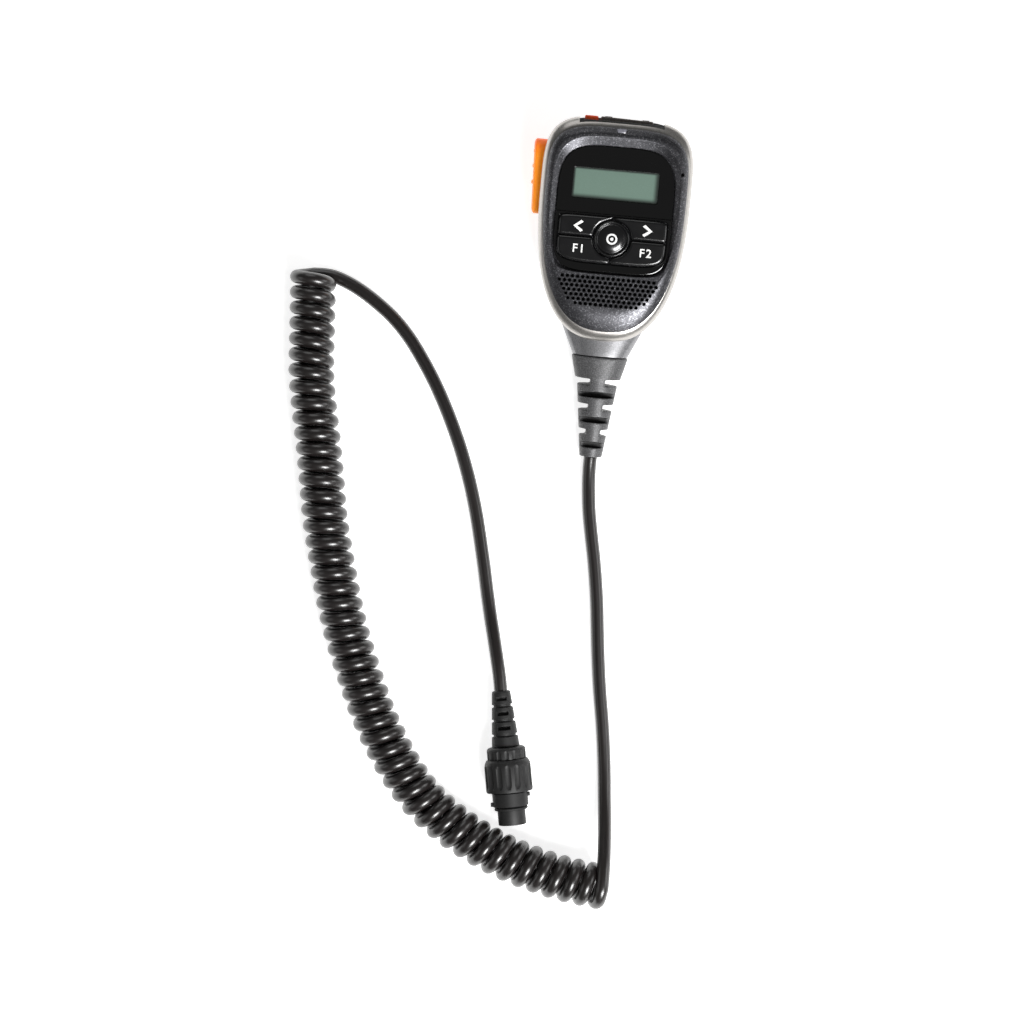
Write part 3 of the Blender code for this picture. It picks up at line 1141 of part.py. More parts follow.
def coupling_sleeve(seat):
    start = plug_levels()[1]
    end = start + SLEEVE_LENGTH
    bore = SHELL_CORE_RADIUS + TURN_GAP
    groove_end = end - SLEEVE_RIM_LENGTH
    nose_in, nose_length = SLEEVE_NOSE
    shoulder_in, shoulder_length = SLEEVE_SHOULDER
    flute_start = start + nose_length + shoulder_length
    rings = [fluted_ring(SLEEVE_RADIUS - nose_in, start),
             fluted_ring(SLEEVE_RADIUS - shoulder_in, start + nose_length),
             fluted_ring(SLEEVE_RADIUS, flute_start, SLEEVE_FLUTE_DEPTH),
             fluted_ring(SLEEVE_RADIUS, groove_end - SLEEVE_EDGE, SLEEVE_FLUTE_DEPTH),
             fluted_ring(SLEEVE_RADIUS, groove_end),
             fluted_ring(SLEEVE_RADIUS, end - SLEEVE_EDGE),
             fluted_ring(SLEEVE_RADIUS - SLEEVE_EDGE, end),
             fluted_ring(bore, end), fluted_ring(bore, start)]
    return node("coupling_sleeve", skin(rings, closed=True), "plug_black", seat,
                (0.0, 0.0, (start + end) / 2))


def connector():
    seat = bpy.data.objects.new("connector_seat", None)
    bpy.context.scene.collection.objects.link(seat)
    seat.location = (*PLUG_CABLE_END, SLEEVE_RADIUS + PLUG_CLEAR_OF_TABLE)
    heading = Vector((math.sin(PLUG_HEADING), -math.cos(PLUG_HEADING), 0.0))
    seat.rotation_mode = "QUATERNION"
    seat.rotation_quaternion = heading.to_track_quat("Z", "Y")
    plug_boot(seat)
    nut = plug_levels()[0]
    node("plug_nut", lathe([(NUT_RADIUS - NUT_EDGE, nut), (NUT_RADIUS, nut + NUT_EDGE),
                            (NUT_RADIUS, nut + NUT_LENGTH)]), "plug_black", seat)
    plug_shell(seat)
    contacts(seat)
    coupling_sleeve(seat)
    return seat


def put_on_table(seat):
    """Moves the seat so that the microphone stands on z = 0 with its box centred on the origin."""
    bpy.context.view_layer.update()
    graph = bpy.context.evaluated_depsgraph_get()
    low, high = Vector((1.0, 1.0, 1.0)), Vector((-1.0, -1.0, -1.0))
    for ob in seat.children:
        if ob.hide_render:
            continue
        shape = ob.evaluated_get(graph)
        for vert in shape.data.vertices:
            place = shape.matrix_world @ vert.co
            low = Vector(map(min, low, place))
            high = Vector(map(max, high, place))
    seat.location = (-(low.x + high.x) / 2, -(low.y + high.y) / 2, -low.z)
    return seat


if __name__ == "__main__":
    clear_scene()
    put_on_table(microphone())
    cords()
    connector()
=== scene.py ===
import json
import math
from collections import namedtuple

import bmesh
import bpy
from mathutils import Matrix, Vector


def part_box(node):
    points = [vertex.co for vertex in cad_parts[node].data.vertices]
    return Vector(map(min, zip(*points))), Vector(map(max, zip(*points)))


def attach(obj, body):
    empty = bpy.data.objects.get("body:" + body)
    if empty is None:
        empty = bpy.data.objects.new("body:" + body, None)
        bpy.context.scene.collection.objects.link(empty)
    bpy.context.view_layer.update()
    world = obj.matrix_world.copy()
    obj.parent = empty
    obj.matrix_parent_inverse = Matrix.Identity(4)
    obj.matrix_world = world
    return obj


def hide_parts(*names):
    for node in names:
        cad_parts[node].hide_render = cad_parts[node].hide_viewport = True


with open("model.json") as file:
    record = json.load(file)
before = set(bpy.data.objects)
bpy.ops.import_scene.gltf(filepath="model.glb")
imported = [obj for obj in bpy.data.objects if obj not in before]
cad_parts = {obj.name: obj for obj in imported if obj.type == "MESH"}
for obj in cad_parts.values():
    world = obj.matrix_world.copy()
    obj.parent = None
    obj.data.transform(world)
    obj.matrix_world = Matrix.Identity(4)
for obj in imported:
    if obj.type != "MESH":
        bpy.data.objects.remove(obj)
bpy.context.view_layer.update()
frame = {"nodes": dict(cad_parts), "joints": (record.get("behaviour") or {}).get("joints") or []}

# Finished looks of a hand microphone that lies face up on a pale table, with its curly cord
# and round connector. Sizes are in millimetres in the microphone's own frame, as in its model:
# x across, y along from the lamp towards the cord (negative), z out of the face.
MM = 0.001


# ---- the microphone's own frame ------------------------------------------------------------
def seat_matrix():
    """Where the leaning microphone sits: its lean from a key's press, its place from the display."""
    press = next(j for j in frame["joints"] if j["name"] == "centre_key_press")["axis"]
    turn = Matrix.Rotation(math.atan2(press[1], -press[2]), 4, "X")
    half_w, half_h = (DISPLAY_WIDTH / 2 + DISPLAY_BORDER), (DISPLAY_HEIGHT / 2 + DISPLAY_BORDER)
    cx, cy = DISPLAY_CENTRE
    corners = [turn @ (Vector((cx + i * half_w, cy + j * half_h, z)) * MM)
               for i in (-1, 1) for j in (-1, 1) for z in (LEDGE_LEVEL, LEDGE_LEVEL - DISPLAY_THICKNESS)]
    low = Vector([min(c[axis] for c in corners) for axis in range(3)])
    return Matrix.Translation(Vector(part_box("display_module")[0]) - low) @ turn


Outline = namedtuple("Outline", "half_width top bottom widest top_power bottom_power")
Border = namedtuple("Border", "side top bottom")

GAP = 0.3                               # between pieces that rest on each other
SLIDE_GAP = 0.35                        # round a key or button in its opening
CASE = Outline(30.4, 4.6, -85.3, -25.0, 3.9, 2.5)
BAND = Border(2.0, 4.0, 4.3)            # the silver band's width: sides, top end, bottom end
RIM = (2.4, 3.2, 10.0)                  # how far in the front shell starts to roll over
FACE_LEVEL = -0.3
EDGE_DROP = 2.4                         # how far the roll goes down
EDGE_CURVE = 1.9
FLANGE_LEVEL = -3.3
SKIRT_LEVEL = -8.8
BAND_LEVEL = -8.5
REAR_LEVEL = -8.9
BACK_LEVEL = -30.0
WALL = 2.0
SKIRT_WALL = 1.6
CURVE_STEPS = 12                        # steps along a rounded edge's section
# the rear case's sides: drawn in at the sides, top and bottom, each with its height off the back
BACK_STATIONS = ((9.5, 11.0, 14.0, 0.0), (5.0, 6.0, 8.0, 1.3), (2.2, 2.4, 3.5, 5.5))
REAR_DRAFT = ((0.7, -14.5), (0.4, REAR_LEVEL))   # drawn in all round, and the level

RECESS = Outline(23.6, -6.8, -57.4, -32.1, 4.0, 5.5)
CHAMFER = Border(2.0, 3.5, 0.5)
CHAMFER_DEPTH = 1.4
LEDGE_LEVEL = -3.1
FRONT_WALL_LEVEL = -4.6
PANEL_LEVEL = -1.2
WINDOW_BOTTOM = -33.8
DISPLAY_WIDTH = 34.2
DISPLAY_HEIGHT = 12.1
DISPLAY_CENTRE = (-0.3, -22.2)
DISPLAY_BORDER = 1.0
DISPLAY_THICKNESS = 1.5

KEYS = Outline(21.7, -35.0, -53.6, -44.3, 14.0, 4.5)
KEY_LEVEL = 0.3
KEY_THICKNESS = 2.4
ROW_SEAM = -43.4
HALF_SEAM = 0.2
CENTRE_KEY = (0.0, -43.5)
CENTRE_KEY_RADIUS = 7.2
BEZEL_LEVEL = -0.5

GRILLE = {"Pitch": 2.05, "Row Pitch": 1.78, "Hole": 1.3, "Top Row": -59.5,
          "Half Span": 19.6, "Depth": 13.2, "Roundness": 2.2}
GRILLE_ROWS = 7
GRILLE_COLUMNS = 21
GRILLE_WALL = 2.1

GRILLE_MARGIN = 1.2                     # wall thinned round the outermost holes
LAMP_SIZE = (4.2, 1.6)
LAMP_Y = -0.6
LAMP_TAPER = 0.6
SOUND_HOLE = (25.8, -15.7)
SOUND_HOLE_RADIUS = 0.7

TALK_Y = -21.5
TALK_HALF_LENGTH = 15.1
TALK_Z = -16.4
TALK_HALF_HEIGHT = 6.0
TALK_PROUD = 3.9
TALK_INNER_X = -25.9
TALK_LEAN = 0.55                        # its lower end stands less proud by twice this
TALK_EDGE = (2.4, 1.2)                  # its rounded edge: drawn in, and down
TALK_BUMPS = (-11.5, -17.5, -24.0)      # where its three grip bumps are along it

STRIP = ((-16.7, 1.2, -13.3), (16.7, 3.0, -4.6))
ALARM = (-12.3, 5.4)                    # centre and length of each key of the top strip
VOLUME = (2.0, 21.0)
TOP_KEY = (1.7, 4.6, -12.5, -7.1)       # foot, face, rear level, front level
MARK_PROUD = 0.25                       # the rocker's raised plus and minus
MARK_REACH = 1.4
MARK_STROKE = 0.3                       # half its width
ROCKER_TAPER = 0.5

SCREW_ANGLES = (48.0, 132.0, 235.0, 305.0)
SCREW_SEAT = -16.0
SCREW_HEAD_RADIUS = 2.3
POST_RADIUS = 3.6
BOSS_LEVEL = -12.0
STUD_Y = -30.0
CORD_Z = -16.6
NECK_ROOT = -80.1
NECK_END = -91.8
NECK_HALF_WIDTHS = (16.7, 11.3)         # at its root and at its end
NECK_HALF_DEPTH = 7.6
NECK_POWER = 2.3
BOOT_COLLAR_END = -101.2
BOOT_END = -133.5
BOOT_PITCH = 10.4
BOOT_NOTCH = 2.6
BOOT_SLOT = 1.8
BOOT_GROOVE_FLOOR = 2.2
BOOT_WEB = 2.9
BOOT_RING_STEP = 4.0

PLUG_HEADING = math.radians(10.1)       # from straight back towards +X
PLUG_PLACE = (-25.9, -167.4, 9.7)       # where the cord goes in
# distances along the plug from there
NUT, SLEEVE, RING, BARREL, PLUG_RIM = 22.3, 27.3, 41.0, 46.6, 54.2
PLUG_BOOT_RADII = (3.85, 5.7)           # at its small end and at the nut
PLUG_BOOT_LENGTH = 22.0
PLUG_MOUTH = 3.7                        # depth to the face that holds the pins
PIN_CIRCLE = 2.7
PINS = 6

KEY_CORNER = 0.8
# a quarter key's rounded upper edge: drawn in, and down
KEY_EDGE = ((1.3, 0.0), (0.95, 0.03), (0.55, 0.16), (0.25, 0.36), (0.05, 0.65), (0.0, 0.9))
KEY_RING = 0.5                          # how far the centre key's ring stands over the keys
PRINT = 0.05                            # thickness of the printed marks

FINE = 160                              # points round a case outline
ROUND = 48                              # points round a turned piece


def inset(outline, side, top=None, bottom=None):
    """The outline drawn in by side, and by top and bottom at its ends."""
    return outline._replace(half_width=outline.half_width - side,
                            top=outline.top - (side if top is None else top),
                            bottom=outline.bottom + (side if bottom is None else bottom))


def band_inset(share):
    """The case outline drawn in by a share of the silver band's width."""
    return inset(CASE, *(share * width for width in BAND))


def between(first, last, share):
    return first + (last - first) * share


def signed_power(value, power):
    return math.copysign(abs(value) ** power, value)


def outline_point(outline, angle):
    upper = math.sin(angle) > 0
    power = 2 / (outline.top_power if upper else outline.bottom_power)
    reach = outline.top - outline.widest if upper else outline.widest - outline.bottom
    return (outline.half_width * signed_power(math.cos(angle), power),
            outline.widest + reach * signed_power(math.sin(angle), power))


def outline_ring(outline, level, count=FINE):
    return [Vector((*outline_point(outline, math.tau * (i + 0.5) / count), level))
            for i in range(count)]


def circle_ring(radius, level, count=ROUND, centre=(0.0, 0.0)):
    return [Vector((centre[0] + radius * math.cos(math.tau * i / count),
                    centre[1] + radius * math.sin(math.tau * i / count), level))
            for i in range(count)]


def oval_ring(half_width, half_thickness, y, power=2.0, count=96):
    """An oval section across the microphone's length, about the cord's axis."""
    ring = []
    for i in range(count):
        t = math.tau * (i + 0.5) / count
        ring.append(Vector((half_width * signed_power(math.cos(t), 2 / power), y,
                            CORD_Z + half_thickness * signed_power(math.sin(t), 2 / power))))
    return ring


SHELL_EDGE = band_inset(1.0)
SKIRT = inset(SHELL_EDGE, WALL)
GASKET_OUTER = inset(SKIRT, -GAP)
GASKET_INNER = inset(GASKET_OUTER, 1.5)
SCREW_PLACES = [outline_point(inset(GASKET_INNER, 3.1), math.radians(a)) for a in SCREW_ANGLES]
KEY_OPENING = inset(KEYS, -SLIDE_GAP)
SEAT = seat_matrix()


# ---- meshes ----------------------------------------------------------------------------------
def catmull(a, b, c, d, t):
    """The point at t between b and c on the smooth curve through four values."""
    return 0.5 * (2 * b + (c - a) * t + (2 * a - 5 * b + 4 * c - d) * t ** 2
                  + (3 * b - 3 * c + d - a) * t ** 3)


def smooth_through(stations, steps):
    """Vectors along a smooth curve through the stations, steps of them in each stretch."""
    stations = [Vector(s) for s in stations]
    ends = [2 * stations[0] - stations[1]] + stations + [2 * stations[-1] - stations[-2]]
    fine = [catmull(a, b, c, d, i / steps)
            for a, b, c, d in zip(ends, ends[1:], ends[2:], ends[3:]) for i in range(steps)]
    return fine + [stations[-1]]


def skin(rings, closed=False):
    """A mesh over rings of equal count: capped at both ends, or closed into a loop."""
    bm = bmesh.new()
    rows = [[bm.verts.new(p) for p in ring] for ring in rings]
    pairs = list(zip(rows, rows[1:])) + ([(rows[-1], rows[0])] if closed else [])
    for a, b in pairs:
        for i in range(len(a)):
            j = (i + 1) % len(a)
            bm.faces.new((a[i], a[j], b[j], b[i]))
    if not closed:
        bm.faces.new(rows[0])
        bm.faces.new(rows[-1])
    return bm


def lathe(profile, count=ROUND, centre=(0.0, 0.0), closed=False):
    """A turned piece: profile is (radius, height) from end to end, or a closed loop."""
    return skin([circle_ring(r, z, count, centre) for r, z in profile], closed)


def block(low, high):
    bm = bmesh.new()
    size = Vector(high) - Vector(low)
    bmesh.ops.create_cube(bm, size=1.0, matrix=Matrix.Translation((Vector(low) + Vector(high)) / 2)
                          @ Matrix.Diagonal((*size, 1)))
    return bm


def joined(meshes):
    whole = bmesh.new()
    for bm in meshes:
        part = bpy.data.meshes.new("part")
        bmesh.ops.recalc_face_normals(bm, faces=bm.faces)
        bm.to_mesh(part)
        bm.free()
        whole.from_mesh(part)
        bpy.data.meshes.remove(part)
    return whole


def linked(name, data):
    """A new object in the scene."""
    ob = bpy.data.objects.new(name, data)
    bpy.context.scene.collection.objects.link(ob)
    return ob


def bare(name, bm):
    """A shape in its own millimetres at the origin, for a tree to repeat."""
    bmesh.ops.recalc_face_normals(bm, faces=bm.faces)
    mesh = bpy.data.meshes.new(name)
    bm.to_mesh(mesh)
    bm.free()
    return linked(name, mesh)


def to_seat(ob, seat=SEAT):
    """Puts a shape made in bare millimetres where its seat stands."""
    ob.data.transform(seat @ Matrix.Scale(MM, 4))
    return ob


def shape(name, bm, seat=SEAT):
    """An object from a mesh in millimetres, put where its seat stands."""
    return to_seat(bare(name, bm), seat)


def settle(ob):
    """Turns an object's modifiers into its own plain mesh."""
    bpy.context.view_layer.update()
    graph = bpy.context.evaluated_depsgraph_get()
    mesh = bpy.data.meshes.new_from_object(ob.evaluated_get(graph))
    ob.modifiers.clear()
    old = ob.data
    ob.data = mesh
    if old.users == 0:
        bpy.data.meshes.remove(old)
    return ob


def carve(ob, others, operation="DIFFERENCE"):
    """Cuts, joins or keeps with other objects, which are used up."""
    for other in others:
        step = ob.modifiers.new("carve", "BOOLEAN")
        step.operation = operation
        step.solver = "EXACT"
        step.object = other
    settle(ob)
    for other in others:
        bpy.data.objects.remove(other, do_unlink=True)
    return ob


def soften(ob, width, segments=2, angle=40.0):
    """Rounds an object's sharp edges by a width in millimetres."""
    step = ob.modifiers.new("soften", "BEVEL")
    step.width = width * MM
    step.segments = segments
    step.limit_method = "ANGLE"
    step.angle_limit = math.radians(angle)
    return settle(ob)


def moulded(ob, voxel, rounds=4):
    """Melts an object's edges as a soft moulding's are, by remeshing and smoothing it."""
    step = ob.modifiers.new("melt", "REMESH")
    step.mode = "VOXEL"
    step.voxel_size = voxel * MM
    step.use_smooth_shade = True
    even = ob.modifiers.new("even", "SMOOTH")
    even.factor = 0.5
    even.iterations = rounds
    return settle(ob)


def finished(ob, finish, slot, body, *nodes, crease=35.0):
    """Gives a piece its finish and the body that it rides on, in place of some CAD nodes."""
    mesh = ob.data
    mesh.materials.clear()
    mesh.materials.append(finish)
    mesh.shade_smooth()
    mesh.set_sharp_from_angle(angle=math.radians(crease))
    if nodes:
        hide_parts(*nodes)
    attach(ob, body)
    return ob


def flatten_shading(ob):
    """Keeps broad flat faces flat to the eye beside their rounded edges."""
    step = ob.modifiers.new("even_shading", "WEIGHTED_NORMAL")
    step.keep_sharp = True
    return ob


# ---- finishes -----------------------------------------------------------------------------------
def rgb(hex_colour, alpha=1.0):
    """An sRGB hex value as the linear colour that shaders take."""
    channels = [int(hex_colour[i:i + 2], 16) / 255 for i in (1, 3, 5)]
    return (*[c / 12.92 if c <= 0.04045 else ((c + 0.055) / 1.055) ** 2.4 for c in channels], alpha)


def add_node(tree, kind, inputs=None, **settings):
    """Adds a node: its settings, and its inputs as values or as sockets to link."""
    made = tree.nodes.new(kind)
    for key, value in settings.items():
        setattr(made, key, value)
    for key, value in (inputs or {}).items():
        if isinstance(value, bpy.types.NodeSocket):
            tree.links.new(value, made.inputs[key])
        else:
            made.inputs[key].default_value = value
    return made


def finish_tree(name, **shader_values):
    """A material with its tree, its shader with fixed values set, and Object coordinates."""
    mat = bpy.data.materials.new(name)
    mat.use_nodes = True
    tree = mat.node_tree
    shader = tree.nodes["Principled BSDF"]
    for key, value in shader_values.items():
        shader.inputs[key.replace("_", " ")].default_value = value
    place = add_node(tree, "ShaderNodeTexCoord").outputs["Object"]
    return mat, tree, shader, place


def per_mm(size):
    """A texture scale that gives one feature in each size millimetres."""
    return 1.0 / (size * MM)


def ramp(tree, factor, stops):
    """A colour ramp through (position, hex colour) stops."""
    made = add_node(tree, "ShaderNodeValToRGB", {"Fac": factor})
    band = made.color_ramp
    while len(band.elements) < len(stops):
        band.elements.new(0.5)
    for element, (position, colour) in zip(band.elements, stops):
        element.position = position
        element.color = rgb(colour)
    return made.outputs["Color"]


def patterned(tree, shader, pattern, stops=None, gloss=None, relief=None):
    """Lets a pattern drive the shader: colour by stops, roughness by a range, relief by strength, mm."""
    if stops:
        tree.links.new(ramp(tree, pattern, stops), shader.inputs["Base Color"])
    if gloss:
        sheen = add_node(tree, "ShaderNodeMapRange",
                         {"Value": pattern, "To Min": gloss[0], "To Max": gloss[1]})
        tree.links.new(sheen.outputs["Result"], shader.inputs["Roughness"])
    if relief:
        bump = add_node(tree, "ShaderNodeBump",
                        {"Height": pattern, "Strength": relief[0], "Distance": relief[1] * MM})
        tree.links.new(bump.outputs["Normal"], shader.inputs["Normal"])


def grained_plastic(name, colours, roughness, grain, depth, metallic=0.0, coat=0.0):
    """Moulded or sprayed plastic: a fine grain that moves its colour, gloss and surface a little."""
    mat, tree, shader, place = finish_tree(name, Metallic=metallic, Coat_Weight=coat,
                                           Coat_Roughness=0.1)
    fine = add_node(tree, "ShaderNodeTexNoise",
                    {"Vector": place, "Scale": per_mm(grain), "Detail": 3.0, "Roughness": 0.6})
    patterned(tree, shader, fine.outputs["Fac"], list(zip((0.32, 0.5, 0.68), colours)),
              (roughness - 0.07, roughness + 0.07), (0.35, depth))
    return mat


def flake_paint():
    # Metallic flake paint on ABS, sprayed: charcoal lacquer over silver flakes drawn at 0.3 mm; it
    # looks dark head on and silvery where it slopes to the light.
    mat, tree, shader, place = finish_tree("flake_paint_on_abs", Metallic=0.8)
    speck = add_node(tree, "ShaderNodeTexVoronoi", {"Vector": place, "Scale": per_mm(0.32)})
    value = add_node(tree, "ShaderNodeSeparateColor", {"Color": speck.outputs["Color"]})
    patterned(tree, shader, value.outputs["Red"],
              [(0.0, "#3B3B3E"), (0.55, "#454548"), (0.85, "#535356"), (0.98, "#77777B")])
    patterned(tree, shader, value.outputs["Green"], gloss=(0.3, 0.42))
    orange_peel = add_node(tree, "ShaderNodeTexNoise", {"Vector": place, "Scale": per_mm(1.2)})
    patterned(tree, shader, orange_peel.outputs["Fac"], relief=(0.2, 0.03))
    return mat


def silver_paint():
    # Satin silver paint on ABS: pale grey metal look, slightly broken up by fine flake.
    return grained_plastic("satin_silver_paint_on_abs", ("#A3A09C", "#ADAAA6", "#BAB7B3"),
                           0.3, 0.4, 0.01, metallic=0.9)


def textured_abs():
    # Grey lacquer with a little silver flake over a spark-eroded ABS moulding, grain 0.4 mm.
    return grained_plastic("textured_abs_grey", ("#757577", "#868688", "#9D9D9F"), 0.38, 0.4, 0.03,
                           metallic=0.75)


def smoked_acrylic():
    # Hard-coated acrylic lens printed black behind: mirror gloss over deep black.
    mat, tree, shader, place = finish_tree("black_acrylic", Base_Color=rgb("#060606"), Roughness=0.12,
                                           Coat_Weight=0.6, Coat_Roughness=0.03)
    wave = add_node(tree, "ShaderNodeTexNoise", {"Vector": place, "Scale": per_mm(14.0)})
    patterned(tree, shader, wave.outputs["Fac"], relief=(0.1, 0.05))
    return mat


def display_face():
    # Reflective liquid-crystal panel under a clear film: grey-green, shaded towards its edges by the
    # frame above it, with its dot rows just visible every 0.35 mm.
    mat, tree, shader, place = finish_tree("reflective_lcd", Roughness=0.35, Coat_Weight=0.5,
                                           Coat_Roughness=0.05)
    cx, cy = DISPLAY_CENTRE
    own = add_node(tree, "ShaderNodeMapping", {"Vector": place}, vector_type="TEXTURE")
    own.inputs["Location"].default_value = SEAT @ (Vector((cx, cy, LEDGE_LEVEL)) * MM)
    own.inputs["Rotation"].default_value = SEAT.to_euler()
    axes = add_node(tree, "ShaderNodeSeparateXYZ", {"Vector": own.outputs["Vector"]})
    # the frame's shadow, deepest along the right and bottom edges: axis, and where it starts and ends
    lit = None
    for axis, dark, bright in (("X", DISPLAY_WIDTH / 2 - 0.3, DISPLAY_WIDTH / 2 - 2.4),
                               ("X", -DISPLAY_WIDTH / 2 + 0.1, -DISPLAY_WIDTH / 2 + 1.0),
                               ("Y", -DISPLAY_HEIGHT / 2 + 0.2, -DISPLAY_HEIGHT / 2 + 2.2),
                               ("Y", DISPLAY_HEIGHT / 2 - 0.1, DISPLAY_HEIGHT / 2 - 0.9)):
        side = add_node(tree, "ShaderNodeMapRange",
                        {"Value": axes.outputs[axis], "From Min": dark * MM, "From Max": bright * MM},
                        interpolation_type="SMOOTHSTEP").outputs["Result"]
        lit = side if lit is None else add_node(tree, "ShaderNodeMath", {0: lit, 1: side},
                                                operation="MULTIPLY").outputs["Value"]
    dots = add_node(tree, "ShaderNodeTexBrick",
                    {"Vector": own.outputs["Vector"], "Scale": 1.0, "Mortar Size": 0.03 * MM,
                     "Brick Width": 0.35 * MM, "Row Height": 0.35 * MM, "Color1": rgb("#687F73"),
                     "Color2": rgb("#6B8377"), "Mortar": rgb("#62786C")}, offset=0.0)
    shade = add_node(tree, "ShaderNodeMix", {0: lit, 6: rgb("#1E2822"), 7: dots.outputs["Color"]},
                     data_type="RGBA")
    tree.links.new(shade.outputs[2], shader.inputs["Base Color"])
    return mat


def gloss_key():
    # Hard-coated polycarbonate key caps: piano black, soft-edged highlights, faint handling haze.
    mat, tree, shader, place = finish_tree("piano_black_polycarbonate", Base_Color=rgb("#0C0C0D"),
                                           Coat_Weight=0.5, Coat_Roughness=0.08)
    haze = add_node(tree, "ShaderNodeTexNoise", {"Vector": place, "Scale": per_mm(6.0), "Detail": 4.0})
    patterned(tree, shader, haze.outputs["Fac"], gloss=(0.16, 0.3))
    return mat


def legend_ink():
    # Pad-printed white ink: flat white with slightly uneven cover.
    return grained_plastic("pad_printed_white", ("#E9E9E6", "#F4F4F2", "#FBFBFA"), 0.5, 0.4, 0.005)


def talk_rubber():
    # Overmoulded orange TPE with a glow of painted light, so it is brighter than the light on it: soft
    # sheen, a little redder towards its upper end.
    mat, tree, shader, place = finish_tree("orange_tpe", Roughness=0.42, Emission_Strength=0.32)
    axes = add_node(tree, "ShaderNodeSeparateXYZ", {"Vector": place})
    end = (SEAT @ (Vector((0, TALK_Y + TALK_HALF_LENGTH, TALK_Z)) * MM)).y
    # redder over the 7 mm nearest the button's upper end
    along = add_node(tree, "ShaderNodeMapRange", {"Value": axes.outputs["Y"], "From Min": end - 7 * MM,
                                                  "From Max": end})
    fine = add_node(tree, "ShaderNodeTexNoise", {"Vector": place, "Scale": per_mm(0.8), "Detail": 3.0})
    body = ramp(tree, fine.outputs["Fac"], [(0.3, "#EF8312"), (0.7, "#F99424")])
    redder_end = add_node(tree, "ShaderNodeMix", {0: along.outputs["Result"], 6: body, 7: rgb("#F8641C")},
                    data_type="RGBA")
    # painted light: the button's own colour also glows, so that its shaded side stays bright
    for socket in ("Base Color", "Emission Color"):
        tree.links.new(redder_end.outputs[2], shader.inputs[socket])
    patterned(tree, shader, fine.outputs["Fac"], relief=(0.3, 0.03))
    return mat


def cord_jacket():
    # Extruded polyurethane jacket: brown-black and glossy, with faint streaks 50 mm long, nine round it.
    mat, tree, shader, _ = finish_tree("polyurethane_jacket", Specular_IOR_Level=0.85)
    along = add_node(tree, "ShaderNodeUVMap", uv_map="along_cord")
    streak_space = add_node(tree, "ShaderNodeMapping", {"Vector": along.outputs["UV"],
                                                        "Scale": (20.0, 9.0, 1.0)})
    streak = add_node(tree, "ShaderNodeTexNoise", {"Vector": streak_space.outputs["Vector"],
                                                   "Scale": 1.0, "Detail": 4.0})
    patterned(tree, shader, streak.outputs["Fac"],
              [(0.3, "#141110"), (0.55, "#1A1615"), (0.75, "#242020")], (0.24, 0.34), (0.12, 0.05))
    return mat


def boot_rubber():
    # Injection-moulded TPE: soft grey rubber with paler grains 0.45 mm apart, and painted shade inside its
    # grooves: the deeper a point lies below the outer skin, the nearer its colour goes to black.
    mat, tree, shader, place = finish_tree("matt_grey_tpe", Metallic=0.3, Roughness=0.46)
    grain = add_node(tree, "ShaderNodeTexNoise", {"Vector": place, "Scale": per_mm(0.45), "Detail": 3.0})
    body = ramp(tree, grain.outputs["Fac"], [(0.3, "#434343"), (0.52, "#545455"), (0.75, "#78787A")])
    # painted shade: the depth written on the boot's points darkens its colour towards black in the grooves
    recess = add_node(tree, "ShaderNodeAttribute", attribute_name="recess")
    deep = add_node(tree, "ShaderNodeMapRange", {"Value": recess.outputs["Fac"], "From Min": 0.2,
                                                 "From Max": 1.1})
    colour = add_node(tree, "ShaderNodeMix", {0: deep.outputs["Result"], 6: body, 7: rgb("#0A0A0A")},
                      data_type="RGBA")
    tree.links.new(colour.outputs[2], shader.inputs["Base Color"])
    patterned(tree, shader, grain.outputs["Fac"], relief=(0.4, 0.04))
    return mat


def brushed_metal(name, colours, roughness, grain):
    """A worked or plated metal: fine lines that move its brightness and gloss."""
    mat, tree, shader, place = finish_tree(name, Metallic=1.0)
    lines = add_node(tree, "ShaderNodeTexNoise", {"Vector": place, "Scale": per_mm(grain), "Detail": 5.0})
    patterned(tree, shader, lines.outputs["Fac"], list(zip((0.3, 0.7), colours)),
              (roughness - 0.08, roughness + 0.08))
    return mat


def circuit_board():
    # Glass-epoxy board under green solder mask: copper tracks show as a paler grid.
    mat, tree, shader, place = finish_tree("solder_masked_fr4", Roughness=0.35, Coat_Weight=0.3)
    tracks = add_node(tree, "ShaderNodeTexBrick",
                      {"Vector": place, "Scale": 1.0, "Mortar Size": 0.25 * MM, "Brick Width": 3.1 * MM,
                       "Row Height": 1.3 * MM, "Color1": rgb("#1A5233"), "Color2": rgb("#1F5C3A"),
                       "Mortar": rgb("#2F7D52")})
    tree.links.new(tracks.outputs["Color"], shader.inputs["Base Color"])
    return mat


def table_top():
    # Plain matt white laminate, lit a little from below so that it stays an even white.
    mat, tree, shader, place = finish_tree("white_laminate", Roughness=0.7, Emission_Strength=0.75,
                                           Emission_Color=rgb("#FFFFFF"))
    fine = add_node(tree, "ShaderNodeTexNoise", {"Vector": place, "Scale": per_mm(30.0)})
    patterned(tree, shader, fine.outputs["Fac"], [(0.3, "#F4F4F3"), (0.7, "#F7F7F6")])
    return mat


# ---- camera, light and table ----------------------------------------------------------------------
CAMERA_PLACE = (-28.0, -93.4, 1100.0)   # straight above the middle of the cord's loop
CAMERA_LENS = 93.6
CAMERA_ROLL = 5.1                       # degrees
ROOM_LIGHT = 0.12
# softboxes: name, place and size in metres, power in watts; each faces the middle of the set
SOFTBOXES = (("key_softbox", (0.5, -0.85, 1.05), 0.55, 26.0),
             ("head_softbox", (-0.3, 1.15, 0.7), 0.8, 2.5),
             ("right_softbox", (1.2, 0.0, 0.65), 0.6, 3.0),
             ("left_softbox", (-1.2, -0.3, 0.5), 0.7, 1.0))
SET_MIDDLE = (-0.03, -0.1, 0.0)
TABLE_HALF = 1.6
# The cord, the plug and the camera stand this much in x from the places written here, which for the
# cord's points and the plug are the model's own. The model's cord has no such shift, so it should be 0.
ROUTE_SHIFT = -0.15


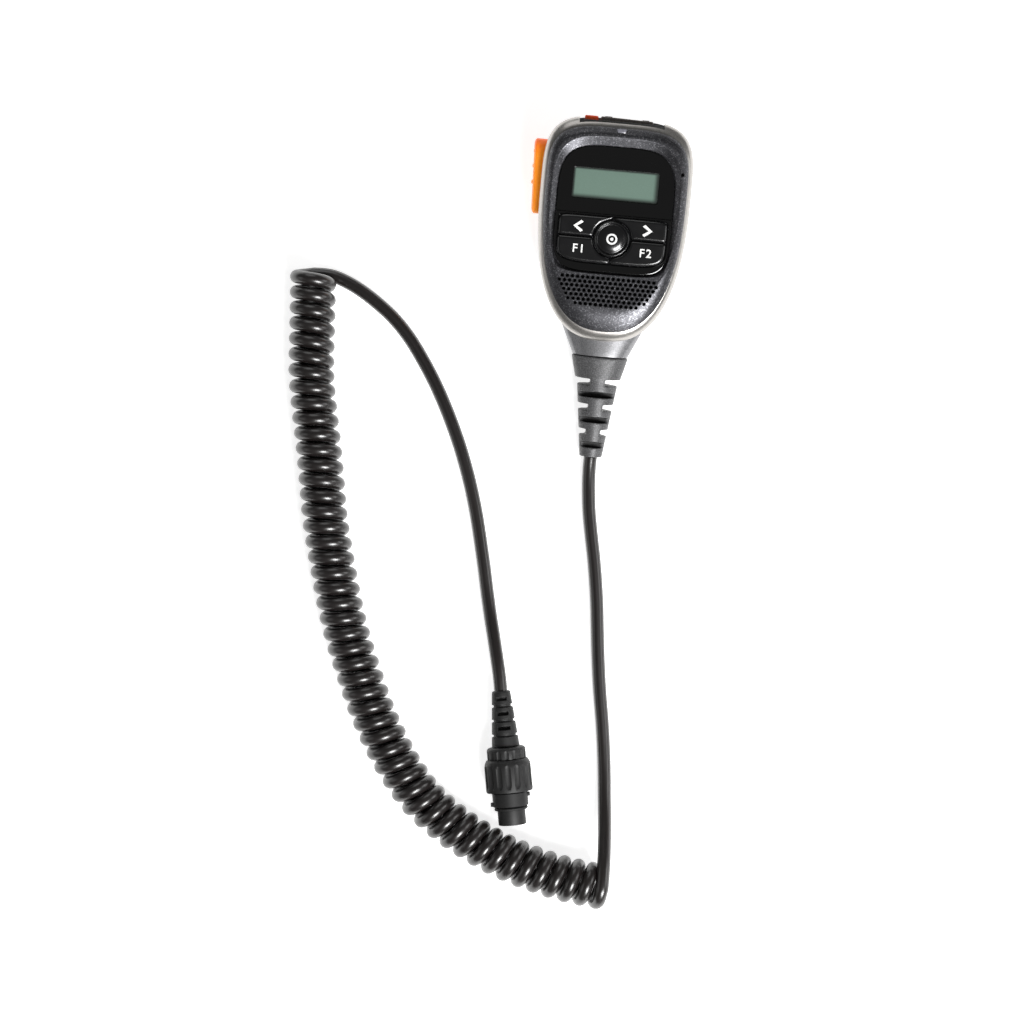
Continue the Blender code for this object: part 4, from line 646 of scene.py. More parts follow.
def moved_over(place):
    return (round(place[0] + ROUTE_SHIFT, 3), *place[1:])


def studio():
    camera = linked("camera", bpy.data.cameras.new("camera"))
    camera.data.lens = CAMERA_LENS
    camera.location = Vector(moved_over(CAMERA_PLACE)) * MM
    camera.rotation_euler = (0.0, 0.0, math.radians(CAMERA_ROLL))
    bpy.context.scene.camera = camera

    world = bpy.data.worlds.new("soft_room")
    world.use_nodes = True
    sky = world.node_tree.nodes["Background"]
    sky.inputs["Color"].default_value = rgb("#FFFFFF")
    sky.inputs["Strength"].default_value = ROOM_LIGHT
    bpy.context.scene.world = world
    bpy.context.scene.view_settings.view_transform = "Standard"
    for name, place, size, power in SOFTBOXES:
        light = bpy.data.lights.new(name, "AREA")
        light.shape = "SQUARE"
        light.size = size
        light.energy = power
        ob = linked(name, light)
        ob.location = place
        ob.rotation_euler = (Vector(SET_MIDDLE) - ob.location).to_track_quat("-Z", "Y").to_euler()

    bm = bmesh.new()
    bm.faces.new([bm.verts.new((i * TABLE_HALF, j * TABLE_HALF, 0.0))
                  for i, j in ((-1, -1), (1, -1), (1, 1), (-1, 1))])
    table = bare("table_top", bm)
    table.data.materials.append(table_top())


# ---- the cord: lead, coil and tail are one length -----------------------------------------------
CORD_DIAMETER = 5.5
HELIX_RADIUS = 6.75
HELIX_TURNS = 48
HELIX_STEPS = 30                        # points in each turn
CORD_SIDES = 16
LEAD_STEPS = 6                          # points in each stretch of its route
TAIL_STEPS = 5
LEAD_ROUTE = [(2.1, -67.9, 4.7), (2.1, -73.0, 3.8), (2.5, -80.0, 3.1), (3.6, -90.0, 2.8),
              (5.3, -99.5, 2.8), (7.2, -109.0, 2.8), (8.9, -119.0, 2.8), (10.3, -129.0, 2.8),
              (11.4, -139.0, 2.8), (12.5, -148.5, 2.8), (13.8, -158.5, 2.8), (15.3, -168.0, 2.8),
              (16.9, -177.5, 2.8), (18.3, -187.5, 2.9), (19.4, -197.0, 3.4), (20.3, -207.0, 4.9),
              (21.1, -216.0, 7.5), (21.7, -225.0, 11.0), (22.05, -234.0, 14.6)]
COIL_AXIS = [(22.1, -242.9, 9.6), (18.9, -242.7, 9.6), (6.5, -241.1, 9.6), (-6.0, -238.3, 9.6),
             (-18.5, -234.4, 9.6), (-30.5, -229.2, 9.6), (-42.6, -222.4, 9.6), (-54.0, -213.8, 9.6),
             (-63.6, -202.8, 9.6), (-71.5, -191.0, 9.6), (-78.1, -179.0, 9.6), (-84.4, -165.0, 9.6),
             (-90.6, -150.0, 9.6), (-94.8, -137.5, 9.6), (-98.2, -125.5, 9.6),
             (-101.4, -113.5, 9.6), (-104.3, -101.5, 9.6), (-107.0, -86.0, 9.6),
             (-109.8, -71.0, 9.6), (-112.6, -57.5, 9.6), (-114.8, -44.5, 9.6), (-115.9, -30.0, 9.6),
             (-116.7, -18.0, 9.6), (-117.5, -7.0, 9.6), (-117.8, -3.0, 9.6)]
TAIL_ROUTE = [(-109.8, -3.2, 2.8), (-105.0, -4.7, 2.8),
              (-98.8, -7.6, 2.8), (-91.0, -12.5, 2.8), (-83.2, -18.6, 2.8), (-76.2, -26.0, 2.8),
              (-69.9, -34.6, 2.8), (-64.5, -43.0, 2.8), (-59.6, -51.8, 2.8), (-55.2, -60.7, 2.8),
              (-51.2, -69.8, 2.8), (-47.7, -79.0, 2.8), (-44.6, -88.4, 2.8), (-41.9, -98.0, 2.8),
              (-39.6, -107.5, 2.8), (-37.4, -117.0, 2.8), (-35.3, -126.8, 2.9),
              (-33.1, -136.4, 3.9), (-30.7, -146.0, 6.4), (-28.4, -155.4, 8.8),
              (-27.1, -161.0, 9.5), (-26.05, -166.8, 9.7)]


def even_points(points, count):
    """count + 1 points at an even spacing along a line of points."""
    reach = [0.0]
    for a, b in zip(points, points[1:]):
        reach.append(reach[-1] + (b - a).length)
    even = []
    at = 0
    for i in range(count + 1):
        wanted = reach[-1] * i / count
        while at < len(points) - 2 and reach[at + 1] < wanted:
            at += 1
        share = (wanted - reach[at]) / (reach[at + 1] - reach[at])
        even.append(points[at].lerp(points[at + 1], min(share, 1.0)))
    return even


def helix_points():
    """The cord's turns about the coil's axis, from on top at the lead to underneath at the tail."""
    count = HELIX_STEPS * HELIX_TURNS + HELIX_STEPS // 2
    axis = even_points(smooth_through([moved_over(p) for p in COIL_AXIS], 16), count)
    up = Vector((0.0, 0.0, 1.0))
    points = []
    for i, centre in enumerate(axis):
        heading = (axis[min(i + 1, count)] - axis[max(i - 1, 0)]).normalized()
        side = (-heading).cross(up)
        turn = math.tau * i / HELIX_STEPS
        points.append(centre + HELIX_RADIUS * (math.cos(turn) * up + math.sin(turn) * side))
    return points


def cord_path():
    """The whole centreline: the lead up onto the coil, its turns, and off it along the tail."""
    helix = helix_points()
    lead = [moved_over(p) for p in LEAD_ROUTE]
    tail = [moved_over(p) for p in TAIL_ROUTE]
    past = helix[0] + Vector((0.0, -9.0, 0.0))
    onto_coil = smooth_through(lead + [helix[0], past], LEAD_STEPS)[:-LEAD_STEPS - 1]
    before = helix[-1] - Vector((4.0, 0.1, 0.0))
    bend = helix[-1].lerp(Vector(tail[0]), 0.5) + Vector((0, 0.25, 0))
    off_coil = smooth_through([before, helix[-1], bend] + tail, TAIL_STEPS)[TAIL_STEPS + 1:]
    return onto_coil + helix + off_coil


def cord():
    points = cord_path()
    radius = CORD_DIAMETER / 2
    bm = bmesh.new()
    around = bm.loops.layers.uv.new("along_cord")
    forward = (points[1] - points[0]).normalized()
    across = forward.orthogonal().normalized()
    rows, reach = [], [0.0]
    for i, point in enumerate(points):
        heading = (points[min(i + 1, len(points) - 1)] - points[max(i - 1, 0)]).normalized()
        across = (across - heading * across.dot(heading)).normalized()
        other = heading.cross(across)
        rows.append([bm.verts.new(point + radius * (math.cos(math.tau * k / CORD_SIDES) * across
                                                    + math.sin(math.tau * k / CORD_SIDES) * other))
                     for k in range(CORD_SIDES)])
        if i:
            reach.append(reach[-1] + (point - points[i - 1]).length * MM)
    for i in range(len(rows) - 1):
        for k in range(CORD_SIDES):
            j = (k + 1) % CORD_SIDES
            face = bm.faces.new((rows[i][k], rows[i][j], rows[i + 1][j], rows[i + 1][k]))
            turns = (k / CORD_SIDES, (k + 1) / CORD_SIDES)
            for loop, (u, v) in zip(face.loops, ((reach[i], turns[0]), (reach[i], turns[1]),
                                                 (reach[i + 1], turns[1]), (reach[i + 1], turns[0]))):
                loop[around].uv = (u, v)
    bm.faces.new(rows[0])
    bm.faces.new(rows[-1])
    ob = shape("curly_cord", bm, Matrix.Identity(4))
    finished(ob, CORD_JACKET, "cord_black", "microphone", "cord_lead", "cord_coil", "cord_tail",
             crease=60.0)
    return ob, [p * MM for p in points]


# ---- Geometry Nodes: what repeats ------------------------------------------------------------
def node_group(name, inputs):
    """A Geometry Nodes tree with named inputs: (name, kind, value). Returns it and its inputs."""
    tree = bpy.data.node_groups.new(name, "GeometryNodeTree")
    tree.interface.new_socket("Geometry", in_out="OUTPUT", socket_type="NodeSocketGeometry")
    tree.interface.new_socket("Geometry", in_out="INPUT", socket_type="NodeSocketGeometry")
    for title, kind, value in inputs:
        socket = tree.interface.new_socket(title, in_out="INPUT", socket_type=f"NodeSocket{kind}")
        if value is not None:
            socket.default_value = value
    return tree, add_node(tree, "NodeGroupInput").outputs


def grown(ob, tree, **values):
    """Runs a tree on an object, its inputs set by name, and keeps the plain mesh that it makes.

    The shape that it repeats is used up.
    """
    step = ob.modifiers.new(tree.name, "NODES")
    step.node_group = tree
    identifiers = {i.name: i.identifier for i in tree.interface.items_tree if i.in_out == "INPUT"}
    for title, value in values.items():
        step[identifiers[title.replace("_", " ")]] = value
    settle(ob)
    for value in values.values():
        if isinstance(value, bpy.types.Object):
            bpy.data.objects.remove(value, do_unlink=True)
    return ob


def finish_group(tree, geometry, finish):
    """Ends a tree: instances made real, their material set."""
    real = add_node(tree, "GeometryNodeRealizeInstances", {"Geometry": geometry})
    dressed = add_node(tree, "GeometryNodeSetMaterial", {"Geometry": real.outputs["Geometry"],
                                                         "Material": finish})
    add_node(tree, "NodeGroupOutput", {"Geometry": dressed.outputs["Geometry"]})
    return tree


def sound_hole_rows():
    """Cutters for the grille: staggered rows of flared holes that shorten towards the bottom."""
    tree, given = node_group("sound_hole_rows", [
        (title, "Float", value) for title, value in GRILLE.items()] + [
        ("Columns", "Int", GRILLE_COLUMNS), ("Rows", "Int", GRILLE_ROWS),
        ("Shape", "Object", None), ("Material", "Material", None)])

    def maths(operation, first, second=0.0):
        return add_node(tree, "ShaderNodeMath", {0: first, 1: second}, operation=operation).outputs[0]

    across = maths("MULTIPLY", given["Pitch"], maths("SUBTRACT", given["Columns"], 1.0))
    along = maths("MULTIPLY", given["Row Pitch"], maths("SUBTRACT", given["Rows"], 1.0))
    grid = add_node(tree, "GeometryNodeMeshGrid", {"Size X": across, "Size Y": along,
                                                   "Vertices X": given["Columns"],
                                                   "Vertices Y": given["Rows"]})
    axes = add_node(tree, "ShaderNodeSeparateXYZ",
                    {"Vector": add_node(tree, "GeometryNodeInputPosition").outputs["Position"]})
    drop = maths("SUBTRACT", maths("DIVIDE", along, 2.0), axes.outputs["Y"])
    row = maths("ROUND", maths("DIVIDE", drop, given["Row Pitch"]))
    shift = maths("MULTIPLY", maths("MODULO", row, 2.0), maths("DIVIDE", given["Pitch"], 2.0))
    x = maths("ADD", axes.outputs["X"], shift)
    y = maths("SUBTRACT", given["Top Row"], maths("MULTIPLY", row, given["Row Pitch"]))
    # the lens that the rows fill: its half width falls off below the second row
    below = maths("MAXIMUM", maths("MULTIPLY", maths("SUBTRACT", row, 1.0), given["Row Pitch"]), 0.0)
    share = maths("DIVIDE", below, maths("SUBTRACT", given["Depth"], given["Row Pitch"]))
    falling = maths("SUBTRACT", 1.0, maths("POWER", share, given["Roundness"]))
    reach = maths("MULTIPLY", given["Half Span"],
                  maths("POWER", falling, maths("DIVIDE", 1.0, given["Roundness"])))
    outside = add_node(tree, "FunctionNodeCompare", {0: maths("ABSOLUTE", x), 1: reach},
                       data_type="FLOAT", operation="GREATER_THAN")
    place = add_node(tree, "ShaderNodeCombineXYZ", {"X": x, "Y": y, "Z": FACE_LEVEL})
    kept = add_node(tree, "GeometryNodeDeleteGeometry", {"Geometry": grid.outputs["Mesh"],
                                                         "Selection": outside.outputs["Result"]})
    set_out = add_node(tree, "GeometryNodeSetPosition", {"Geometry": kept.outputs["Geometry"],
                                                         "Position": place.outputs["Vector"]})
    source = add_node(tree, "GeometryNodeObjectInfo", {"Object": given["Shape"]})
    across_hole = add_node(tree, "ShaderNodeCombineXYZ",
                           {"X": given["Hole"], "Y": given["Hole"], "Z": 1.0})
    holes = add_node(tree, "GeometryNodeInstanceOnPoints",
                     {"Points": set_out.outputs["Geometry"], "Instance": source.outputs["Geometry"],
                      "Scale": across_hole.outputs["Vector"]})
    return finish_group(tree, holes.outputs["Instances"], given["Material"])


def copies_on_points():
    """One given shape on every point of a mesh, such as a screw on each of its posts."""
    tree, given = node_group("copies_on_points", [("Shape", "Object", None), ("Turn", "Float", 0.0),
                                                  ("Material", "Material", None)])
    source = add_node(tree, "GeometryNodeObjectInfo", {"Object": given["Shape"]})
    index = add_node(tree, "GeometryNodeInputIndex").outputs["Index"]
    turn = add_node(tree, "ShaderNodeMath", {0: index, 1: given["Turn"]}, operation="MULTIPLY")
    spin = add_node(tree, "ShaderNodeCombineXYZ", {"Z": turn.outputs["Value"]})
    made = add_node(tree, "GeometryNodeInstanceOnPoints",
                    {"Points": given["Geometry"], "Instance": source.outputs["Geometry"],
                     "Rotation": spin.outputs["Vector"]})
    return finish_group(tree, made.outputs["Instances"], given["Material"])


def ribs_round_axis():
    """A given bar repeated round the Z axis at a radius, such as the grip's flutes."""
    tree, given = node_group("ribs_round_axis", [("Bar", "Object", None), ("Count", "Int", 16),
                                                 ("Radius", "Float", 9.0),
                                                 ("Material", "Material", None)])
    circle = add_node(tree, "GeometryNodeMeshCircle", {"Vertices": given["Count"],
                                                       "Radius": given["Radius"]})
    source = add_node(tree, "GeometryNodeObjectInfo", {"Object": given["Bar"]})
    index = add_node(tree, "GeometryNodeInputIndex").outputs["Index"]
    step = add_node(tree, "ShaderNodeMath", {0: math.tau, 1: given["Count"]}, operation="DIVIDE")
    angle = add_node(tree, "ShaderNodeMath", {0: index, 1: step.outputs["Value"]}, operation="MULTIPLY")
    spin = add_node(tree, "ShaderNodeCombineXYZ", {"Z": angle.outputs["Value"]})
    made = add_node(tree, "GeometryNodeInstanceOnPoints",
                    {"Points": circle.outputs["Mesh"], "Instance": source.outputs["Geometry"],
                     "Rotation": spin.outputs["Vector"]})
    return finish_group(tree, made.outputs["Instances"], given["Material"])


def points_object(name, places):
    bm = bmesh.new()
    for place in places:
        bm.verts.new(place)
    return bare(name, bm)


# ---- the case ------------------------------------------------------------------------------------
def grille_lens():
    return Outline(GRILLE["Half Span"], GRILLE["Top Row"] + GRILLE["Row Pitch"] / 2,
                   GRILLE["Top Row"] - GRILLE["Depth"], GRILLE["Top Row"] - GRILLE["Row Pitch"],
                   12.0, GRILLE["Roundness"])


def lamp_prism(grow, high, low):
    """The light pipe's outline, a tapered key, between two levels."""
    wide, tall = LAMP_SIZE[0] / 2 + grow, LAMP_SIZE[1] / 2 + grow
    corners = [(-wide, LAMP_Y + tall), (wide, LAMP_Y + tall), (wide - LAMP_TAPER, LAMP_Y - tall),
               (LAMP_TAPER - wide, LAMP_Y - tall)]
    return skin([[Vector((x, y, z)) for x, y in corners] for z in (high, low)])


def front_shell():
    chamfer = inset(RECESS, *(-width for width in CHAMFER))
    rings = [outline_ring(RECESS, LEDGE_LEVEL),
             outline_ring(RECESS, FACE_LEVEL - CHAMFER_DEPTH - 0.12),
             outline_ring(inset(RECESS, -0.15, -0.3, -0.08), FACE_LEVEL - CHAMFER_DEPTH + 0.05),
             outline_ring(inset(chamfer, 0.2, 0.35, 0.08), FACE_LEVEL - 0.16),
             outline_ring(chamfer, FACE_LEVEL - 0.03),
             outline_ring(inset(chamfer, -0.25), FACE_LEVEL)]
    for step in range(CURVE_STEPS + 1):
        share = step / CURVE_STEPS
        edge = inset(SHELL_EDGE, *(width * (1 - share) for width in RIM))
        rings.append(outline_ring(edge, FACE_LEVEL - EDGE_DROP * share ** EDGE_CURVE))
    rings += [outline_ring(SHELL_EDGE, FLANGE_LEVEL + 0.15),
              outline_ring(inset(SHELL_EDGE, 0.15), FLANGE_LEVEL),
              outline_ring(SKIRT, FLANGE_LEVEL), outline_ring(SKIRT, SKIRT_LEVEL),
              outline_ring(inset(SKIRT, SKIRT_WALL), SKIRT_LEVEL),
              outline_ring(inset(SKIRT, SKIRT_WALL), FRONT_WALL_LEVEL)]
    shell = shape("front_shell", skin(rings))
    pocket = inset(grille_lens(), -GRILLE_MARGIN)
    behind = shape("pocket", skin([outline_ring(pocket, FACE_LEVEL - GRILLE_WALL, 48),
                                   outline_ring(inset(pocket, 2.5), FRONT_WALL_LEVEL - 1.0, 48)]))
    # one hole's cutter, 1 mm across, flared at its mouth
    drill = bare("drill", lathe([(0.68, 0.3), (0.68, 0.0), (0.5, -0.25), (0.5, -4.0)], 14))
    holes = to_seat(grown(bare("holes", bmesh.new()), sound_hole_rows(), Shape=drill, Material=PAINT))
    lamp = shape("lamp_slot", lamp_prism(0.15, 1.0, -4.0))
    ear = shape("ear", lathe([(SOUND_HOLE_RADIUS + 0.25, 1.0), (SOUND_HOLE_RADIUS + 0.25, FACE_LEVEL),
                              (SOUND_HOLE_RADIUS, FACE_LEVEL - 0.25), (SOUND_HOLE_RADIUS, -6.0)],
                             20, SOUND_HOLE))
    floor = shape("window_floor", block((-17.2, -29.2, -6.0), (16.6, -15.1, LEDGE_LEVEL + 0.5)))
    carve(shell, [behind, holes, lamp, ear, floor])
    return flatten_shading(finished(shell, PAINT, "painted_shell", "microphone", "front_case"))


def strip_way(name):
    """The opening that the top strip sits in, out through the case's top."""
    low, high = STRIP
    return shape(name, block([c - GAP for c in low], (high[0] + GAP, 7.0, high[2] + GAP)))


def key_ways(name, low_y, high_y, room):
    """Openings for the alarm key and the rocker, with room behind and before them."""
    ways = []
    for x, length in (ALARM, VOLUME):
        half = length / 2 + SLIDE_GAP
        ways.append(block((x - half, low_y, TOP_KEY[2] - room), (x + half, high_y, TOP_KEY[3] + room)))
    return shape(name, joined(ways))


def silver_band():
    top = FLANGE_LEVEL - GAP
    rings = [outline_ring(inset(SKIRT, -GAP), BAND_LEVEL), outline_ring(inset(SKIRT, -GAP), top - 0.1),
             outline_ring(SHELL_EDGE, top - 0.02)]
    for step in range(1, CURVE_STEPS + 1):
        turn = math.pi / 2 * step / CURVE_STEPS
        share = 1 - math.sin(turn) ** 1.1
        rings.append(outline_ring(band_inset(share), top - 3.9 * (1 - math.cos(turn)) ** 0.8))
    rings += [outline_ring(CASE, BAND_LEVEL + 0.12), outline_ring(inset(CASE, 0.12), BAND_LEVEL)]
    band = shape("silver_band", skin(rings, closed=True))
    carve(band, [strip_way("notch")])
    return finished(band, SILVER, "silver_trim", "microphone", "trim_ring")


def rear_rings(draw_in=0.0, steps=5):
    """The rear case's outer sections from its back face up, all of it drawn in if asked."""
    whole = inset(CASE, draw_in)
    stations = [(*sides, BACK_LEVEL + height + draw_in) for *sides, height in BACK_STATIONS]
    stations += [(side, side, side, level) for side, level in REAR_DRAFT]
    return [outline_ring(inset(whole, *station[:3]), station[3])
            for station in smooth_through(stations, steps)]


def talk_ring(half_length, half_height, x, lean, count=96):
    """One section of the push-to-talk button, across its travel."""
    ring = []
    for i in range(count):
        t = math.tau * (i + 0.5) / count
        y = half_length * signed_power(math.cos(t), 0.36)
        z = half_height * signed_power(math.sin(t), 0.5)
        ring.append(Vector((x - lean * y / TALK_HALF_LENGTH, TALK_Y + y, TALK_Z + z)))
    return ring


def back_shell():
    seat_level = SKIRT_LEVEL - 1.4
    inner = [outline_ring(inset(GASKET_OUTER, -GAP), REAR_LEVEL),
             outline_ring(inset(GASKET_OUTER, -GAP), seat_level),
             outline_ring(inset(GASKET_INNER, -GAP), seat_level),
             outline_ring(inset(CASE, 4.6, 6.2, 7.0), BACK_LEVEL + 6.0),
             outline_ring(inset(CASE, 9.0, 10.5, 13.0), BACK_LEVEL + WALL)]
    shell = shape("back_shell", skin(rear_rings() + inner))
    neck = [oval_ring(between(*NECK_HALF_WIDTHS, step / 8), NECK_HALF_DEPTH,
                      between(NECK_ROOT, NECK_END, step / 8), NECK_POWER) for step in range(8)]
    neck += [oval_ring(11.36, 7.55, NECK_END + 0.15, NECK_POWER),
             oval_ring(11.15, 7.35, NECK_END, NECK_POWER)]
    posts = shape("posts", joined([lathe([(POST_RADIUS, BOSS_LEVEL - GAP), (POST_RADIUS, BACK_LEVEL + 0.6)],
                                         28, place) for place in SCREW_PLACES]))
    carve(posts, [shape("envelope", skin(rear_rings(0.3)))], "INTERSECT")
    boss = shape("boss", lathe([(4.4, BACK_LEVEL + 8.0), (4.4, BACK_LEVEL + 0.6)], 32, (0.0, STUD_Y)))
    carve(shell, [shape("neck", skin(neck)), posts, boss], "UNION")
    bore = shape("neck_bore", skin([oval_ring(7.6, 4.9, y) for y in (NECK_ROOT + 5.0, NECK_END - 1.0)]))
    sinks = shape("sinks", joined([lathe([(SCREW_HEAD_RADIUS + 0.3, SCREW_SEAT),
                                          (SCREW_HEAD_RADIUS + 0.3, BACK_LEVEL - 1.0)], 32, place)
                                   for place in SCREW_PLACES]))
    button = shape("button_way", skin([talk_ring(TALK_HALF_LENGTH + SLIDE_GAP,
                                                 TALK_HALF_HEIGHT + SLIDE_GAP, x, 0.0)
                                       for x in (-36.0, -22.6)]))
    carve(shell, [bore, sinks, button, strip_way("strip_way"), key_ways("key_ways", -6.0, 2.0, 0.4)])
    return finished(shell, CASE_PLASTIC, "case_grey", "microphone", "rear_case")


# ---- strain relief ------------------------------------------------------------------------------
def boot_half_sizes(y):
    share = (y - BOOT_COLLAR_END) / (BOOT_END - BOOT_COLLAR_END)
    return between(8.6, 4.6, share), between(6.9, 4.7, share)


def mark_recesses(boot):
    """Writes how deep each point lies below the boot's outer skin, in millimetres, as an attribute for the
    painted shade in its grooves.
    """
    depth = boot.data.attributes.new("recess", "FLOAT", "POINT")
    home = (SEAT @ Matrix.Scale(MM, 4)).inverted()
    for i, vert in enumerate(boot.data.vertices):
        x, y, z = home @ vert.co
        if y > BOOT_COLLAR_END:
            continue
        half_w, half_t = boot_half_sizes(y)
        size = math.hypot(x / half_w, (z - CORD_Z) / half_t)
        depth.data[i].value = max(1.0 - size, 0.0) * half_t


def strain_relief():
    start = NECK_END - GAP
    rings = [oval_ring(7.3, 4.6, start + 5.5), oval_ring(7.3, 4.6, start),
             oval_ring(11.2, 7.4, start, 2.2), oval_ring(11.5, 7.6, start - 0.4, 2.2),
             oval_ring(10.5, 7.35, (start + BOOT_COLLAR_END) / 2, 2.1),
             oval_ring(9.3, 7.1, BOOT_COLLAR_END)]
    for y in [BOOT_COLLAR_END - 0.4 - BOOT_RING_STEP * i for i in range(8)] + [BOOT_END]:
        rings.append(oval_ring(*boot_half_sizes(y), y))
    boot = shape("strain_relief", skin(rings))
    cutters = []
    for number in range(3):
        y = BOOT_COLLAR_END - number * BOOT_PITCH
        middle = y - BOOT_NOTCH - (BOOT_PITCH - BOOT_NOTCH) / 2
        for side in (-1, 1):
            near, far = sorted((side * BOOT_WEB, side * 13.0))
            cutters.append(block((near, y - BOOT_NOTCH, CORD_Z - 12.0), (far, y, CORD_Z + 12.0)))
            # each slot's upper lip is arched, as the moulding's core pin leaves it
            arch = [(x, middle + BOOT_SLOT * (0.75 - 0.45 * (x / 9.0) ** 2)) for x in range(-11, 12)]
            foot = [(x, middle - BOOT_SLOT * 0.6) for x in range(11, -12, -1)]
            cutters.append(skin([[Vector((x, yy, CORD_Z + side * z)) for x, yy in arch + foot]
                                 for z in (BOOT_GROOVE_FLOOR, 12.0)]))
    carve(boot, [shape("boot_cuts", joined(cutters))])
    moulded(boot, 0.3, 3)
    # the depths that the boot's finish darkens into painted shade
    mark_recesses(boot)
    return finished(boot, BOOT_RUBBER, "boot_grey", "microphone", "cord_boot", crease=180.0)


# ---- window and keypad -----------------------------------------------------------------------------
def panel_solid(name, level, edge):
    """A plate that fills the recess, its upper edge rounded."""
    whole = inset(RECESS, GAP)
    return shape(name, skin([outline_ring(whole, LEDGE_LEVEL + GAP), outline_ring(whole, level - edge),
                             outline_ring(inset(whole, 0.3 * edge), level - 0.3 * edge),
                             outline_ring(inset(whole, edge), level)]))


def window():
    pane = panel_solid("window_lens", PANEL_LEVEL, 0.4)
    keep = shape("upper", block((-40.0, WINDOW_BOTTOM, -9.0), (40.0, 9.0, 9.0)))
    carve(pane, [keep], "INTERSECT")
    cx, cy = DISPLAY_CENTRE
    half_w, half_h = DISPLAY_WIDTH / 2, DISPLAY_HEIGHT / 2
    frame_hole = shape("view", skin([
        rounded_rectangle(cx, cy, half_w + 0.35, half_h + 0.35, 1.2, PANEL_LEVEL + 0.4),
        rounded_rectangle(cx, cy, half_w, half_h, 0.9, PANEL_LEVEL - 0.7),
        rounded_rectangle(cx, cy, half_w, half_h, 0.9, -9.0)]))
    carve(pane, [frame_hole])
    flatten_shading(finished(pane, ACRYLIC, "window_black", "microphone", "display_window"))

    glass = shape("display_face", skin([
        rounded_rectangle(cx, cy, half_w + 0.6, half_h + 0.6, 0.3, PANEL_LEVEL - 0.85),
        rounded_rectangle(cx, cy, half_w + 0.6, half_h + 0.6, 0.3, LEDGE_LEVEL - DISPLAY_THICKNESS)]))
    finished(glass, DISPLAY, "display_glass", "microphone", "display_module")


def rounded_rectangle(cx, cy, half_w, half_h, radius, level, corner=6):
    ring = []
    for quarter, (sx, sy) in enumerate(((1, 1), (-1, 1), (-1, -1), (1, -1))):
        for i in range(corner + 1):
            t = math.pi / 2 * (quarter + i / corner)
            ring.append(Vector((cx + sx * (half_w - radius) + radius * math.cos(t),
                                cy + sy * (half_h - radius) + radius * math.sin(t), level)))
    return ring


def keypad_frame():
    plate = panel_solid("keypad_frame", BEZEL_LEVEL, 0.55)
    keep = shape("lower", block((-40.0, -90.0, -9.0), (40.0, WINDOW_BOTTOM - GAP, 9.0)))
    carve(plate, [keep], "INTERSECT")
    way = shape("key_way", skin([outline_ring(inset(KEY_OPENING, -1.2), BEZEL_LEVEL + 1.0),
                                 outline_ring(inset(KEY_OPENING, -0.2), BEZEL_LEVEL),
                                 outline_ring(KEY_OPENING, BEZEL_LEVEL - 0.2),
                                 outline_ring(KEY_OPENING, -9.0)]))
    carve(plate, [way])
    return flatten_shading(finished(plate, ACRYLIC, "window_black", "microphone", "key_bezel"))


def keys_edge(x, y):
    """How far inside the keypad's outline a point is, in millimetres, or below zero outside it."""
    power = KEYS.top_power if y > KEYS.widest else KEYS.bottom_power
    reach = KEYS.top - KEYS.widest if y > KEYS.widest else KEYS.widest - KEYS.bottom
    u, v = abs(x) / KEYS.half_width, abs(y - KEYS.widest) / reach
    size = (u ** power + v ** power) ** (1 / power)
    if size < 1e-6:
        return min(KEYS.half_width, reach)
    slope = math.hypot(u ** (power - 1) / KEYS.half_width, v ** (power - 1) / reach) / size ** (power - 1)
    return (1 - size) / max(slope, 1e-6)


def key_inside(x, y, side, upper):
    """How far inside one quarter key a point is, with its corners rounded."""
    row = (y - ROW_SEAM - HALF_SEAM) if upper else (ROW_SEAM - HALF_SEAM - y)
    walls = (keys_edge(x, y), side * x - HALF_SEAM, row,
             math.hypot(x - CENTRE_KEY[0], y - CENTRE_KEY[1]) - CENTRE_KEY_RADIUS - 0.4)
    nearest = min(walls)
    if nearest > KEY_CORNER:
        return nearest
    return KEY_CORNER - math.hypot(*(max(KEY_CORNER - wall, 0.0) for wall in walls))


def key_ring(side, upper, inward, level, count=150):
    """The outline of one quarter key, drawn in, traced out from a point inside it."""
    cx, cy = side * 14.5, (KEYS.top + ROW_SEAM) / 2 if upper else (KEYS.bottom + ROW_SEAM) / 2
    ring = []
    for i in range(count):
        t = math.tau * i / count
        near, far = 0.0, 20.0
        for _ in range(26):
            reach = (near + far) / 2
            inside = key_inside(cx + reach * math.cos(t), cy + reach * math.sin(t), side, upper)
            near, far = (reach, far) if inside > inward else (near, reach)
        ring.append(Vector((cx + near * math.cos(t), cy + near * math.sin(t), level)))
    return ring


def quarter_key(name, side, upper, body, node):
    rings = [key_ring(side, upper, inward, KEY_LEVEL - down) for inward, down in KEY_EDGE]
    rings.append(key_ring(side, upper, 0.0, KEY_LEVEL - KEY_THICKNESS))
    key = shape(name, skin(rings))
    return flatten_shading(finished(key, KEY_GLOSS, "key_black", body, node, crease=50.0))


def centre_key():
    top = KEY_LEVEL + KEY_RING
    radius = CENTRE_KEY_RADIUS
    # a low dome in a groove, inside a raised ring
    profile = [(0.02, top - 0.25), (1.8, top - 0.28), (3.2, top - 0.4), (4.2, top - 0.6),
               (4.9, top - 0.85), (5.4, top - 1.1), (5.7, top - 1.2), (5.95, top - 1.05),
               (6.15, top - 0.6), (6.3, top - 0.2), (6.5, top), (6.75, top - 0.05), (6.95, top - 0.25),
               (7.1, top - 0.55), (radius, top - 0.85), (radius, KEY_LEVEL - KEY_THICKNESS)]
    key = shape("centre_key", lathe(profile, 96, CENTRE_KEY))
    return finished(key, KEY_GLOSS, "key_black", "centre_key", "key_centre", crease=60.0)


def printed(name, bm, body):
    return finished(shape(name, bm), INK, "key_black", body)


